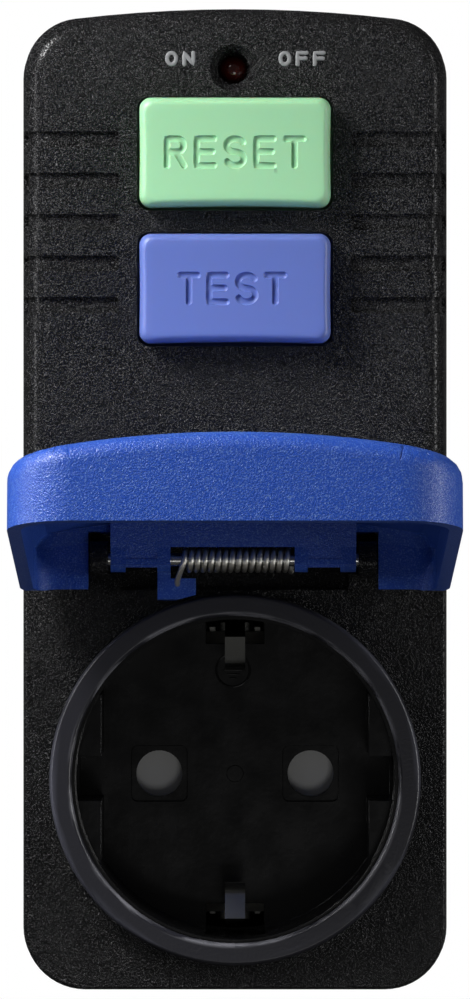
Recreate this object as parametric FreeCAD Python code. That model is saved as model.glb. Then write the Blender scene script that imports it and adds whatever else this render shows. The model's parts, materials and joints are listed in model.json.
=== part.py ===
"""Plug-in residual current adapter with an earthed round socket under a sprung lid.

Frame: X to the right and Z up as seen from the front, Y to the back. The origin lies on the common
axis of socket and plug, at the housing's rear face. Sizes are in millimetres.
The lid is drawn shut and then turned about its pin to the open rest position.
"""
import FreeCAD, Part
import math
import os

V = FreeCAD.Vector
X_AXIS = V(1, 0, 0)
Y_AXIS = V(0, 1, 0)
Z_AXIS = V(0, 0, 1)

# Facets of round wire
TURN_STEPS = 12
WIRE_SIDES = 6
SPRING_WIRE_SIDES = 4
PEG_SIDES = 8
HIDDEN_ROUND_SIDES = 16

# Gaps between pieces
SLIDE_GAP = 0.25
TURN_GAP = 0.05
SEAT_GAP = 0.02

# Housing outline, at the front face and at the wider parting line
REAR_Y = 0.0
PARTING_Y = -15.0
FACE_Y = -37.0
BLOCK_STEP = 5.0
BLOCK_Y = FACE_Y - BLOCK_STEP
FRONT_HALF_WIDTH = 25.7
FRONT_BOTTOM_Z = -25.6
FRONT_TOP_Z = 94.4
PARTING_HALF_WIDTH = 26.8
PARTING_BOTTOM_Z = -27.2
PARTING_TOP_Z = 95.9
REAR_HALF_WIDTH = 25.9
REAR_BOTTOM_Z = -26.3
REAR_TOP_Z = 95.0
BOTTOM_CORNER_R = 7.5
TOP_CORNER_R = 7.0
TOP_ARC_R = 166.0
WALL = 2.0
BLOCK_EDGE_R = 2.8
EDGE_BANDS = 4
LOWER_EDGE_R = 0.5
REAR_EDGE_R = 1.6
STEP_Z = 35.5

# Grip grooves on both sides of the buttons
GROOVE_COUNT = 5
GROOVE_TOP_Z = 79.4
GROOVE_PITCH = 5.06
GROOVE_HEIGHT = 1.9
GROOVE_DEPTH = 0.55
GROOVE_INNER_X = 14.2
GROOVE_END_Y = -29.0
GROOVE_CORNER_R = 0.45

# Buttons
BUTTON_WIDTH = 23.4
BUTTON_HEIGHT = 13.4
BUTTON_CORNER_R = 1.2
BUTTON_TOP_R = 0.9
BUTTON_PROUD = 3.5
BUTTON_FLANGE = 1.0
BUTTON_FLANGE_THICK = 1.2
BUTTON_DISH_R = 60.0
BUTTON_DISH_DEPTH = 0.35
RESET_Z = 76.7
TEST_Z = 60.1
RESET_TRAVEL = 2.5
TEST_TRAVEL = 1.8
STEM_R = 2.2
TEST_STEM_OUT = 2.0
BUTTON_SPRING_R = 3.2
BUTTON_SPRING_WIRE = 0.55
BUTTON_SPRING_TURNS = 5

# Indicator
LAMP_X = -0.2
LAMP_BELOW_TOP = 7.2
LAMP_SINK_R = 2.9
LAMP_HOLE_R = 1.95
LENS_R = 1.7
LENS_TIP_DEPTH = 2.6
LENS_LENGTH = 5.0
LENS_FOOT_R = 2.4
LENS_FOOT_THICK = 1.0
LENS_SLEEVE_WALL = 0.7
LED_R = 1.5
LED_LENGTH = 5.0
LED_WIRE = 0.6

# Socket
SOCKET_DEPTH = 17.5
SOCKET_R = 19.65
SOCKET_WALL = 1.5
SOCKET_FLOOR = 3.0
SOCKET_FLANGE_R = 22.9
SOCKET_FLANGE_THICK = 1.2
COLLAR_PROUD = 2.5
COLLAR_OUTER_R = 22.8
COLLAR_INNER_R = 20.1
COLLAR_LIP = 1.1
COLLAR_EDGE_R = 0.5
CHEEK_X = 16.5
CHEEK_HALF_Z = 10.3
CHEEK_LEDGE_DEPTH = 4.0
NOTCH_HALF_Z = 2.75
NOTCH_X = 19.4
PIN_SPACING = 19.0
PIN_HOLE_R = 2.9
PIN_RELIEF = 7.0
PIN_RELIEF_DEPTH = 0.5
EARTH_WINDOW_HALF_X = 3.65
EARTH_WINDOW_INNER_R = 16.3
EARTH_WINDOW_TOP_DEPTH = 5.5
SKIRT_LENGTH = 5.0

# Shutter behind the socket floor
SHUTTER_HUB_R = 3.6
SHUTTER_BOSS_R = 2.0
SHUTTER_THICK = 1.2
SHUTTER_BLADE_HALF = 3.9
SHUTTER_BLADE_R = 13.6

# Socket contacts
BASE_THICK = 2.0
CLIP_R = 2.35
CLIP_WALL = 0.8
CLIP_LENGTH = 9.5
CLIP_SLIT = 0.9
EARTH_STRIP_HALF = 1.25
EARTH_STRIP_THICK = 0.8
EARTH_LEG_R = 18.4
EARTH_BOW_R = 13.6
EARTH_TIP_R = 17.6

# Plug
PLUG_LENGTH = 17.5
PLUG_R = 18.5
PLUG_WALL = 1.8
PLUG_FACE_THICK = 3.0
PLUG_FLAT_X = 16.2
PLUG_FLAT_HALF_Z = 10.6
PLUG_RIB_HALF_Z = 2.4
PLUG_EARTH_HALF_X = 3.2
PLUG_EARTH_END = 2.6
PLUG_EARTH_SINK = 0.3
PIN_R = 2.4
PIN_NECK_R = 2.2
PIN_LENGTH = 19.0
PIN_TIP = 1.6
PIN_SHOULDER_R = 3.1
PIN_SHOULDER_THICK = 1.2
PIN_TAIL = 3.5

# Hinge
HINGE_Y = FACE_Y - 4.0
HINGE_Z = 27.0
HINGE_PIN_R = 0.8
POST_R = 2.3
POST_LEFT = (-17.7, -15.5)
POST_RIGHT = (15.1, 17.3)
POCKET_DEPTH = 2.2
POCKET_TOP_Z = 31.5
POCKET_WIDE_Z = 25.3
POCKET_LOW_Z = 23.3
POCKET_HALF_X = 14.0
POCKET_BOSS = 1.6

# Lid
LID_HALF_WIDTH = 26.25
LID_REACH = 52.5
LID_HEEL = 3.2
LID_RIM_GAP = 0.3
LID_CROWN = 7.0
LID_CROWN_R = 125.0
LID_SHOULDER = 2.4
LID_CORNER_R = 7.5
LID_HEEL_CORNER_R = 5.0
LID_WALL = 1.6
LID_OPEN_DEG = 99.5
LUG_R = 1.5
LUGS = ((-15.2, -13.4), (-9.5, -7.9), (7.3, 8.9), (12.9, 14.8))
LUG_EDGE = -2.8
POST_SLOT_EDGE = -3.6
POST_SLOT_GAP = 0.3
TAB_X = (-9.5, -4.8)
TAB_REACH = 4.6
TAB_FROM = 2.05
TAB_HEEL = (1.5, 2.5)
HEEL_SWING_R = 3.75

# Lid spring, with the ends of its legs measured from the hinge axis
LID_SPRING_TURNS = 15.5
LID_SPRING_X = (-6.2, 6.75)
LID_SPRING_R = 1.95
LID_SPRING_WIRE = 0.7
LID_LEG_SIDE = 0.85
LID_LEG_Y = 0.6
LID_LEG_DROP = (1.2, 2.6, 3.0)
POCKET_LEG_DROP = 1.5

# Release mechanism and circuit board
BOARD_FRONT_Y = -14.0
BOARD_THICK = 1.6
BOARD_HALF_X = 19.0
BOARD_Z = (34.0, 84.0)
BOARD_TONGUE_HALF = 8.0
BOARD_TONGUE_Z = 91.0
BOARD_POST_X = 16.0
BOARD_POST_Z = (37.5, 80.5)
BOARD_POST_R = 2.6
FRAME_FRONT_Y = -28.5
FRAME_THICK = 1.6
FRAME_HALF_X = 18.6
FRAME_Z = (51.0, 84.0)
FRAME_LEG = 3.4
CARRIER_HALF_X = 14.0
CARRIER_Z = (71.5, 81.5)
CARRIER_THICK = 4.5
BRIDGE_X = 9.0
BRIDGE_WIDTH = 3.6
BRIDGE_THICK = 0.6
BRIDGE_HALF_Z = 4.2
CONTACT_R = 1.2
CONTACT_PAD = 0.8
RIVET_Z = 2.8
COIL_X = -11.2
COIL_Z = 59.0
COIL_R = 4.6
COIL_FLANGE = 0.5
COIL_FLANGE_THICK = 0.8
COIL_LENGTH = 12.0
COIL_OFF_YOKE = 0.3
PLUNGER_R = 1.4
PLUNGER_TRAVEL = 1.8
YOKE_THICK = 1.0
CORE_X = 6.5
CORE_Z = 44.5
CORE_OUTER_R = 8.0
CORE_INNER_R = 4.6
CORE_LENGTH = 6.0
CORE_OFF_BOARD = 0.9
WINDING_COUNT = 8
WINDING_THICK = 0.8
WINDING_SLACK = 0.1
TEST_STRIP_WIDTH = 4.0
TEST_STRIP_THICK = 0.5
RESISTOR_X = 13.0
RESISTOR_R = 1.6
RESISTOR_LENGTH = 7.0
PART_WIRE_R = 0.35
ABSORBER_X = -8.0
ABSORBER_R = 4.0
ABSORBER_THICK = 2.6
LEAD_R = 0.9
LEAD_CORNER = 1.5
LOAD_LEAD_OUT = 2.0
SUPPLY_LEAD_IN = 4.5
SUPPLY_LEAD_APART = 1.3

# Screws
SCREW_X = 21.0
SCREW_BOTTOM_Z = -20.8
SCREW_TOP_Z = 88.6
SCREW_R = 1.5
SCREW_HEAD_R = 2.7
SCREW_HEAD_THICK = 2.0
SCREW_SINK = 3.2
SCREW_LENGTH = 22.0
SCREW_BOSS_R = 3.6
BOARD_SCREW_R = 1.1
BOARD_SCREW_HEAD_R = 2.0
BOARD_SCREW_HEAD_THICK = 1.2
BOARD_SCREW_LENGTH = 6.0

# Places that follow from the sizes above
COLLAR_Y = FACE_Y - COLLAR_PROUD
FLOOR_Y = COLLAR_Y + SOCKET_DEPTH
FLOOR_BACK_Y = FLOOR_Y + SOCKET_FLOOR
SKIRT_END_Y = FLOOR_BACK_Y + SKIRT_LENGTH
SHUTTER_Y = FLOOR_BACK_Y + SLIDE_GAP
BASE_Y = SKIRT_END_Y - BASE_THICK
LAMP_Z = FRONT_TOP_Z - LAMP_BELOW_TOP
INNER_FACE_Y = FACE_Y + WALL
INNER_BLOCK_Y = BLOCK_Y + WALL
BUTTON_FRONT_Y = BLOCK_Y - BUTTON_PROUD
FLANGE_Y = INNER_BLOCK_Y + SLIDE_GAP
FLANGE_BACK_Y = FLANGE_Y + BUTTON_FLANGE_THICK
FRAME_BACK_Y = FRAME_FRONT_Y + FRAME_THICK
CARRIER_Y = FRAME_BACK_Y + 0.5
CARRIER_BACK_Y = CARRIER_Y + CARRIER_THICK
BOARD_BACK_Y = BOARD_FRONT_Y + BOARD_THICK
LID_RIM_Y = FACE_Y - LID_RIM_GAP
LID_TOP_Y = HINGE_Y - LID_CROWN
PLUG_Y = REAR_Y + PLUG_LENGTH
EARTH_STRAP_Y = SKIRT_END_Y + 0.6
COIL_Y = BOARD_FRONT_Y - YOKE_THICK - COIL_OFF_YOKE - COIL_R - COIL_FLANGE
LOAD_LEAD_X = PIN_SPACING / 2 + LOAD_LEAD_OUT
SUPPLY_LEAD_X = PIN_SPACING / 2 - SUPPLY_LEAD_IN


def box(x, y, z):
    """A box from (low, high) pairs."""
    corner = V(min(x), min(y), min(z))
    return Part.makeBox(max(x) - min(x), max(y) - min(y), max(z) - min(z), corner)


def rod(radius, start, length, axis=Y_AXIS):
    return Part.makeCylinder(radius, length, start, axis)


def ring(outer, inner, start, length, axis=Y_AXIS):
    return rod(outer, start, length, axis).cut(rod(inner, start, length, axis))


def fuse(solids):
    """One shape from many, with the seams between flush faces removed."""
    solids = list(solids)
    return solids[0].fuse(solids[1:]).removeSplitter()


def arc(start, middle, end):
    return Part.Arc(start, middle, end).toShape()


def mirror_x(shape):
    return shape.mirror(V(0, 0, 0), X_AXIS)


def corner_arc(centre, radius, from_deg, to_deg):
    """An arc in a plane of constant Y, with angles from +X towards +Z."""
    points = []
    for angle in (from_deg, (from_deg + to_deg) / 2, to_deg):
        turn = math.radians(angle)
        points.append(V(centre.x + radius * math.cos(turn), centre.y, centre.z + radius * math.sin(turn)))
    return arc(*points), points[0], points[2]


def loop(pieces):
    """A closed wire of arcs joined by straight edges."""
    edges = []
    for number, (edge, _, end) in enumerate(pieces):
        following = pieces[(number + 1) % len(pieces)][1]
        edges.append(edge)
        if end.distanceToPoint(following) > 1e-6:
            edges.append(Part.makeLine(end, following))
    return Part.Wire(edges)


def rounded_rect(x, z, y, radius):
    """A rectangle with round corners in the plane at y, from (low, high) pairs."""
    centres = (
        (x[1] - radius, z[1] - radius, 0),
        (x[0] + radius, z[1] - radius, 90),
        (x[0] + radius, z[0] + radius, 180),
        (x[1] - radius, z[0] + radius, 270),
    )
    return loop([corner_arc(V(cx, y, cz), radius, turn, turn + 90) for cx, cz, turn in centres])


def slab(x, z, y, radius):
    """A rounded rectangle drawn out along Y."""
    face = Part.Face(rounded_rect(x, z, min(y), radius))
    return face.extrude(V(0, max(y) - min(y), 0))


def housing_outline(y, half_width, bottom, top, inset):
    """The housing's outline: flat below with round corners, and a shallow arc on top."""
    half = half_width - inset
    low = BOTTOM_CORNER_R - inset
    high = TOP_CORNER_R - inset
    crown = TOP_ARC_R - inset
    crown_z = top - inset - crown
    reach = half - high
    corner_z = crown_z + math.sqrt((crown - high) ** 2 - reach ** 2)
    lean = math.degrees(math.atan2(corner_z - crown_z, reach))
    top_arc = corner_arc(V(0, y, crown_z), crown, lean, 180 - lean)
    return loop([
        corner_arc(V(reach, y, corner_z), high, 0, lean),
        top_arc,
        corner_arc(V(-reach, y, corner_z), high, 180 - lean, 180),
        corner_arc(V(low - half, y, bottom + inset + low), low, 180, 270),
        corner_arc(V(half - low, y, bottom + inset + low), low, 270, 360),
    ])


def between(y, start_y, end_y, start, end):
    return start + (end - start) * (y - start_y) / (end_y - start_y)


def front_section(y, inset=0.0):
    """Section of the front housing, which narrows from the parting line to the front face."""
    spans = (
        (PARTING_HALF_WIDTH, FRONT_HALF_WIDTH),
        (PARTING_BOTTOM_Z, FRONT_BOTTOM_Z),
        (PARTING_TOP_Z, FRONT_TOP_Z),
    )
    return housing_outline(y, *[between(y, PARTING_Y, BLOCK_Y, a, b) for a, b in spans], inset)


def rear_section(y, inset=0.0):
    """Section of the rear housing, which narrows from the parting line to the rear face."""
    spans = (
        (PARTING_HALF_WIDTH, REAR_HALF_WIDTH),
        (PARTING_BOTTOM_Z, REAR_BOTTOM_Z),
        (PARTING_TOP_Z, REAR_TOP_Z),
    )
    return housing_outline(y, *[between(y, PARTING_Y, REAR_Y, a, b) for a, b in spans], inset)


def drawn(section, start_y, end_y, inset=0.0):
    return Part.makeLoft([section(start_y, inset), section(end_y, inset)], True, True)


def drawn_round(section, start_y, end_y, radius, inset=0.0):
    """The same, with the edge at end_y rounded over in a few narrow bands."""
    way = math.copysign(1, end_y - start_y)
    wires = [section(start_y, inset)]
    for number in range(EDGE_BANDS + 1):
        turn = math.pi / 2 * number / EDGE_BANDS
        y = end_y - way * radius * (1 - math.sin(turn))
        wires.append(section(y, inset + radius * (1 - math.cos(turn))))
    return Part.makeLoft(wires, True, True)


def edges_at(shape, test):
    return [edge for edge in shape.Edges if test(edge)]


def lies_at_y(edge, y):
    bounds = edge.BoundBox
    return abs(bounds.YMin - y) < 1e-3 and abs(bounds.YMax - y) < 1e-3


def route(points, corner_cut):
    """A path of straight runs, with each corner cut short by a small oblique run."""
    path = [points[0]]
    for before, corner, after in zip(points, points[1:], points[2:]):
        path.append(corner + (before - corner).normalize() * corner_cut)
        path.append(corner + (after - corner).normalize() * corner_cut)
    return Part.makePolygon(path + points[-1:])


def polygon_about(centre, along, radius, sides):
    """A regular polygon around a point, square to the given direction."""
    along = V(along).normalize()
    helper = X_AXIS if abs(along.x) < 0.8 else Z_AXIS
    across = along.cross(helper).normalize()
    other = along.cross(across)
    corners = []
    for number in range(sides):
        turn = 2 * math.pi * (number + 0.5) / sides
        corners.append(centre + across * (radius * math.cos(turn)) + other * (radius * math.sin(turn)))
    return Part.makePolygon(corners + corners[:1])


def sweep(path, section):
    """A solid bar drawn along a path, mitred where the path has corners."""
    shell = Part.BRepOffsetAPI.MakePipeShell(path)
    shell.setTransitionMode(1)
    shell.add(section)
    shell.build()
    shell.makeSolid()
    return shell.shape()


def wire_along(points, radius, corner_cut):
    section = polygon_about(points[0], points[1] - points[0], radius, WIRE_SIDES)
    return sweep(route(points, corner_cut), section)


def helix(radius, turns, length):
    """Points of a helix about the Z axis, which starts on the X axis."""
    count = round(turns * TURN_STEPS)
    points = []
    for number in range(count + 1):
        turn = 2 * math.pi * number / TURN_STEPS
        points.append(V(radius * math.cos(turn), radius * math.sin(turn), length * number / count))
    return points


def spring_wire(points, wire):
    section = polygon_about(points[0], points[1] - points[0], wire / 2, SPRING_WIRE_SIDES)
    return sweep(Part.makePolygon(points), section)


def coil(radius, wire, turns, length, start, axis=Y_AXIS):
    """A helical spring of the given mean radius, with its axis through start."""
    spring = spring_wire(helix(radius, turns, length), wire)
    spring.Placement = FreeCAD.Placement(start, FreeCAD.Rotation(Z_AXIS, axis))
    return spring


def peg(radius, start, length, axis=Y_AXIS, sides=PEG_SIDES):
    """A rod with flat sides, for pieces that stay out of sight."""
    face = Part.Face(polygon_about(start, axis, radius, sides))
    return face.extrude(V(axis).normalize() * length)


def hidden_rod(radius, start, length, axis=Y_AXIS):
    return peg(radius, start, length, axis, HIDDEN_ROUND_SIDES)


def strip(points, width, thickness):
    """A bent sheet-metal strip: a polyline in the YZ plane, given thickness and centred on X."""
    outline = []
    for side in (1, -1):
        row = []
        for number, point in enumerate(points):
            before = points[max(number - 1, 0)]
            after = points[min(number + 1, len(points) - 1)]
            along = V(0, after[0] - before[0], after[1] - before[1]).normalize()
            across = V(0, -along.z, along.y)
            row.append(V(-width / 2, point[0], point[1]) + across * (side * thickness / 2))
        outline += row if side == 1 else row[::-1]
    face = Part.Face(Part.makePolygon(outline + outline[:1]))
    return face.extrude(V(width, 0, 0))


def screw(x, z, seat_y, radius, length, head_r, head_thick, way):
    """A screw with its head on seat_y and its shank along +Y or -Y."""
    axis = V(0, way, 0)
    seat = V(x, seat_y, z)
    return fuse([hidden_rod(head_r, seat, head_thick, axis * -1), peg(radius, seat, length, axis)])


def cover_screw_places():
    return [(side * SCREW_X, z) for side in (-1, 1) for z in (SCREW_BOTTOM_Z, SCREW_TOP_Z)]


def board_screw_places():
    return [(side * BOARD_POST_X, z) for side in (-1, 1) for z in BOARD_POST_Z]


def front_body():
    """The outer form: the full-depth block above, and the lower face set back behind it."""
    block = drawn_round(front_section, PARTING_Y, BLOCK_Y, BLOCK_EDGE_R)
    lower = drawn_round(front_section, PARTING_Y, FACE_Y, LOWER_EDGE_R)
    below = box((-40, 40), (BLOCK_Y - 1, 0), (PARTING_BOTTOM_Z - 1, STEP_Z))
    return fuse([block.cut(below), lower.common(below)])


def groove_cuts():
    """Everything outside a shell set GROOVE_DEPTH into the body, kept to one slot per groove."""
    round_r = BLOCK_EDGE_R - GROOVE_DEPTH
    core = drawn_round(front_section, PARTING_Y, BLOCK_Y + GROOVE_DEPTH, round_r, GROOVE_DEPTH)
    cuts = []
    for number in range(GROOVE_COUNT):
        top = GROOVE_TOP_Z - number * GROOVE_PITCH
        span = (top - GROOVE_HEIGHT, top)
        slot = slab((-40, -GROOVE_INNER_X), span, (BLOCK_Y - 1, GROOVE_END_Y), GROOVE_CORNER_R)
        cut = slot.cut(core)
        cuts += [cut, mirror_x(cut)]
    return cuts


def button_window(z):
    half_x = BUTTON_WIDTH / 2 + SLIDE_GAP
    half_z = BUTTON_HEIGHT / 2 + SLIDE_GAP
    radius = BUTTON_CORNER_R + SLIDE_GAP
    return slab((-half_x, half_x), (z - half_z, z + half_z), (BLOCK_Y - 1, INNER_BLOCK_Y + 1), radius)


def lamp_opening():
    """The countersink and the hole behind it, through wall and lens sleeve."""
    sink = Part.makeCone(LAMP_SINK_R, LAMP_HOLE_R, 1.2, V(LAMP_X, BLOCK_Y, LAMP_Z), Y_AXIS)
    hole = rod(LAMP_HOLE_R, V(LAMP_X, BLOCK_Y - 1, LAMP_Z), WALL + 2)
    sleeve_y = BLOCK_Y + LENS_TIP_DEPTH - 0.6
    sleeve = rod(LENS_R + SEAT_GAP, V(LAMP_X, sleeve_y, LAMP_Z), LENS_LENGTH)
    return fuse([sink, hole, sleeve])


def hinge_pocket():
    """Room for the spring and for the lid's tab as it swings in."""
    bottom = FACE_Y + POCKET_DEPTH
    wide = box((POST_LEFT[0], POST_RIGHT[1]), (FACE_Y - 1, bottom), (POCKET_WIDE_Z, POCKET_TOP_Z))
    narrow = box((-POCKET_HALF_X, POCKET_HALF_X), (FACE_Y - 1, bottom), (POCKET_LOW_Z, POCKET_TOP_Z))
    return fuse([wide, narrow])


def hinge_post(span):
    """An ear around the pin, on a stem that rises from the pocket floor."""
    length = span[1] - span[0]
    ear = rod(POST_R, V(span[0], HINGE_Y, HINGE_Z), length, X_AXIS)
    stem_z = (HINGE_Z - POST_R + 0.4, HINGE_Z + POST_R)
    stem = box(span, (HINGE_Y, FACE_Y + POCKET_DEPTH), stem_z)
    bore = rod(HINGE_PIN_R + SEAT_GAP, V(span[0], HINGE_Y, HINGE_Z), length, X_AXIS)
    return fuse([ear, stem]).cut(bore)


def front_cover():
    cavity = drawn(front_section, PARTING_Y, INNER_BLOCK_Y, WALL)
    face_wall = box((-40, 40), (BLOCK_Y, INNER_FACE_Y), (FRONT_BOTTOM_Z - 10, STEP_Z + WALL))
    body = front_body().cut(cavity.cut(face_wall))
    additions = []
    boss_x = (POST_LEFT[0] - WALL, POST_RIGHT[1] + WALL)
    boss_y = (INNER_FACE_Y, FACE_Y + POCKET_DEPTH + POCKET_BOSS)
    additions.append(box(boss_x, boss_y, (POCKET_LOW_Z, POCKET_TOP_Z + WALL)))
    for x, z in cover_screw_places():
        front = INNER_FACE_Y if z < STEP_Z else INNER_BLOCK_Y
        additions.append(rod(SCREW_BOSS_R, V(x, front, z), PARTING_Y - front))
    sleeve_end = BLOCK_Y + LENS_TIP_DEPTH + LENS_LENGTH - LENS_FOOT_THICK
    sleeve_r = LENS_R + LENS_SLEEVE_WALL
    additions.append(rod(sleeve_r, V(LAMP_X, INNER_BLOCK_Y, LAMP_Z), sleeve_end - INNER_BLOCK_Y))
    inside = drawn(front_section, PARTING_Y, BLOCK_Y, WALL / 2)
    additions = [piece.common(inside) for piece in additions]
    body = fuse([body] + additions)
    body = body.cut([hinge_pocket(), lamp_opening(), button_window(RESET_Z), button_window(TEST_Z)])
    mouth = rod(SOCKET_R + SOCKET_WALL + SEAT_GAP, V(0, FACE_Y - 1, 0), WALL + 3)
    body = body.cut([mouth] + groove_cuts())
    for x, z in cover_screw_places():
        tip_y = REAR_Y - SCREW_SINK - SCREW_LENGTH
        body = body.cut(peg(SCREW_R + SEAT_GAP, V(x, tip_y - 1, z), PARTING_Y - tip_y + 2))
    return fuse([body, hinge_post(POST_LEFT), hinge_post(POST_RIGHT)])


def plug_outline():
    """The plug body: a cylinder with two side flats, each with a guide rib in its middle."""
    body = rod(PLUG_R, V(0, REAR_Y, 0), PLUG_LENGTH)
    for side in (-1, 1):
        for way in (-1, 1):
            flat = box(
                (side * PLUG_FLAT_X, side * (PLUG_R + 1)),
                (REAR_Y, PLUG_Y + 1),
                (way * PLUG_RIB_HALF_Z, way * PLUG_FLAT_HALF_Z),
            )
            body = body.cut(flat)
    return body


def plug_hollow():
    """The plug's hollow, open to the housing."""
    hollow = rod(PLUG_R - PLUG_WALL, V(0, REAR_Y - WALL - 1, 0), PLUG_LENGTH - PLUG_FACE_THICK + WALL + 1)
    half = PLUG_FLAT_X - PLUG_WALL
    earth = PLUG_R - EARTH_STRIP_THICK - PLUG_WALL
    keep = box((-half, half), (-40, 40), (-40, 40))
    lower = box((-PLUG_EARTH_HALF_X - 1, PLUG_EARTH_HALF_X + 1), (-40, 40), (-40, 40))
    room = keep.cut(lower.cut(box((-40, 40), (-40, 40), (-earth, earth))))
    return hollow.common(room)


def earth_groove(way):
    """The groove that an earth strip lies in, with a slot through the rear wall."""
    depth = EARTH_STRIP_THICK + SEAT_GAP
    half = PLUG_EARTH_HALF_X + SEAT_GAP
    z = (way * (PLUG_R - 0.3 - depth), way * (PLUG_R + 2))
    through_z = (way * (PLUG_R - 0.3 - depth), way * (PLUG_R - 0.3))
    end = PLUG_Y - PLUG_EARTH_END
    return fuse([
        box((-half, half), (REAR_Y, end), z),
        box((-half, half), (REAR_Y - WALL - 2, REAR_Y + 1), through_z),
    ])


def rear_cover():
    shell = drawn_round(rear_section, PARTING_Y, REAR_Y, REAR_EDGE_R)
    shell = shell.cut(drawn(rear_section, PARTING_Y, REAR_Y - WALL, WALL))
    inside = drawn(rear_section, PARTING_Y, REAR_Y, WALL / 2)
    rear_wall_y = REAR_Y - WALL
    additions = [plug_outline()]
    for x, z in cover_screw_places():
        boss = rod(SCREW_BOSS_R, V(x, PARTING_Y, z), rear_wall_y - PARTING_Y)
        additions.append(boss.common(inside))
    for x, z in board_screw_places():
        additions.append(peg(BOARD_POST_R, V(x, BOARD_BACK_Y, z), rear_wall_y - BOARD_BACK_Y))
    shell = fuse([shell] + additions)
    cuts = [plug_hollow(), earth_groove(1), earth_groove(-1)]
    for side in (-1, 1):
        centre = V(side * PIN_SPACING / 2, REAR_Y, 0)
        cuts.append(rod(PIN_R + SEAT_GAP, centre, PLUG_LENGTH + 1))
    for x, z in cover_screw_places():
        cuts.append(hidden_rod(SCREW_HEAD_R + 0.3, V(x, REAR_Y - SCREW_SINK, z), SCREW_SINK + 1))
        cuts.append(peg(SCREW_R + SLIDE_GAP, V(x, PARTING_Y - 1, z), REAR_Y - PARTING_Y + 1))
    for x, z in board_screw_places():
        cuts.append(peg(BOARD_SCREW_R + SEAT_GAP, V(x, BOARD_BACK_Y - 1, z), BOARD_SCREW_LENGTH + 1.2))
    return shell.cut(cuts)


def socket_insert():
    """The cup: wall, floor, skirt behind, side cheeks with notches, and slots for the earth clips."""
    outer = SOCKET_R + SOCKET_WALL
    mouth_y = COLLAR_Y + COLLAR_LIP
    cup = rod(outer, V(0, mouth_y, 0), SKIRT_END_Y - mouth_y)
    flange = rod(SOCKET_FLANGE_R, V(0, INNER_FACE_Y, 0), SOCKET_FLANGE_THICK)
    solid = fuse([cup, flange])
    solid = solid.cut(rod(SOCKET_R, V(0, mouth_y - 1, 0), FLOOR_Y - mouth_y + 1))
    solid = solid.cut(rod(SOCKET_R, V(0, FLOOR_BACK_Y, 0), SKIRT_LENGTH + 1))
    bore = rod(SOCKET_R + 0.1, V(0, COLLAR_Y + CHEEK_LEDGE_DEPTH, 0), SOCKET_DEPTH - CHEEK_LEDGE_DEPTH)
    pieces = [solid, rod(SHUTTER_BOSS_R, V(0, FLOOR_BACK_Y, 0), BASE_Y - FLOOR_BACK_Y)]
    for side in (-1, 1):
        y = (COLLAR_Y + CHEEK_LEDGE_DEPTH, FLOOR_Y)
        cheek = box((side * CHEEK_X, side * 30), y, (-CHEEK_HALF_Z, CHEEK_HALF_Z)).common(bore)
        notch = box((0, side * NOTCH_X), y, (-NOTCH_HALF_Z, NOTCH_HALF_Z))
        pieces.append(cheek.cut(notch))
    solid = fuse(pieces)
    cuts = []
    for side in (-1, 1):
        x = side * PIN_SPACING / 2
        half = PIN_RELIEF / 2
        relief = (FLOOR_Y - 1, FLOOR_Y + PIN_RELIEF_DEPTH)
        cuts.append(rod(PIN_HOLE_R, V(x, FLOOR_Y - 1, 0), SOCKET_FLOOR + 2))
        cuts.append(slab((x - half, x + half), (-half, half), relief, 0.8))
        z = (side * EARTH_WINDOW_INNER_R, side * (SOCKET_R + 0.3))
        window_y = (COLLAR_Y + EARTH_WINDOW_TOP_DEPTH, BASE_Y - 1)
        cuts.append(box((-EARTH_WINDOW_HALF_X, EARTH_WINDOW_HALF_X), window_y, z))
    return solid.cut(cuts)


def collar_seal():
    """The raised ring that caps the cup's mouth."""
    wall_r = SOCKET_R + SOCKET_WALL + SEAT_GAP
    lip_y = COLLAR_Y + COLLAR_LIP
    body = ring(COLLAR_OUTER_R, COLLAR_INNER_R, V(0, COLLAR_Y, 0), COLLAR_PROUD)
    body = body.cut(rod(wall_r, V(0, lip_y, 0), COLLAR_PROUD))
    return body.makeChamfer(COLLAR_EDGE_R, edges_at(body, lambda e: lies_at_y(e, COLLAR_Y)))


def lid_hull(inset):
    """The lid's outer form, or its hollow when inset by the wall."""
    half = LID_HALF_WIDTH - inset
    free_z = HINGE_Z - LID_REACH + inset
    heel_z = HINGE_Z + LID_HEEL - inset
    rim = LID_RIM_Y if inset == 0 else LID_RIM_Y + 1
    top = LID_TOP_Y + inset
    corner = LID_CORNER_R - inset
    heel_corner = LID_HEEL_CORNER_R - inset
    plan = loop([
        corner_arc(V(half - heel_corner, rim, heel_z - heel_corner), heel_corner, 0, 90),
        corner_arc(V(heel_corner - half, rim, heel_z - heel_corner), heel_corner, 90, 180),
        corner_arc(V(corner - half, rim, free_z + corner), corner, 180, 270),
        corner_arc(V(half - corner, rim, free_z + corner), corner, 270, 360),
    ])
    prism = Part.Face(plan).extrude(V(0, top - rim - 1, 0))
    crown_r = LID_CROWN_R - inset
    crown = rod(crown_r, V(0, top + crown_r, free_z - 1), heel_z - free_z + 2, Z_AXIS)
    hull = prism.common(crown)
    top_edges = edges_at(hull, lambda e: e.BoundBox.YMax < rim - 1 and e.BoundBox.YMin < rim - 4)
    return hull.makeChamfer(LID_SHOULDER - inset / 2, top_edges)


def lid_lug(span, low_z, high_z):
    """A lug from the crown to just past the pin."""
    eye = rod(LUG_R, V(span[0], HINGE_Y, HINGE_Z), span[1] - span[0], X_AXIS)
    web = box(span, (LID_TOP_Y + LID_WALL / 2, HINGE_Y), (HINGE_Z + low_z, HINGE_Z + high_z))
    return [eye, web]


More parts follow.
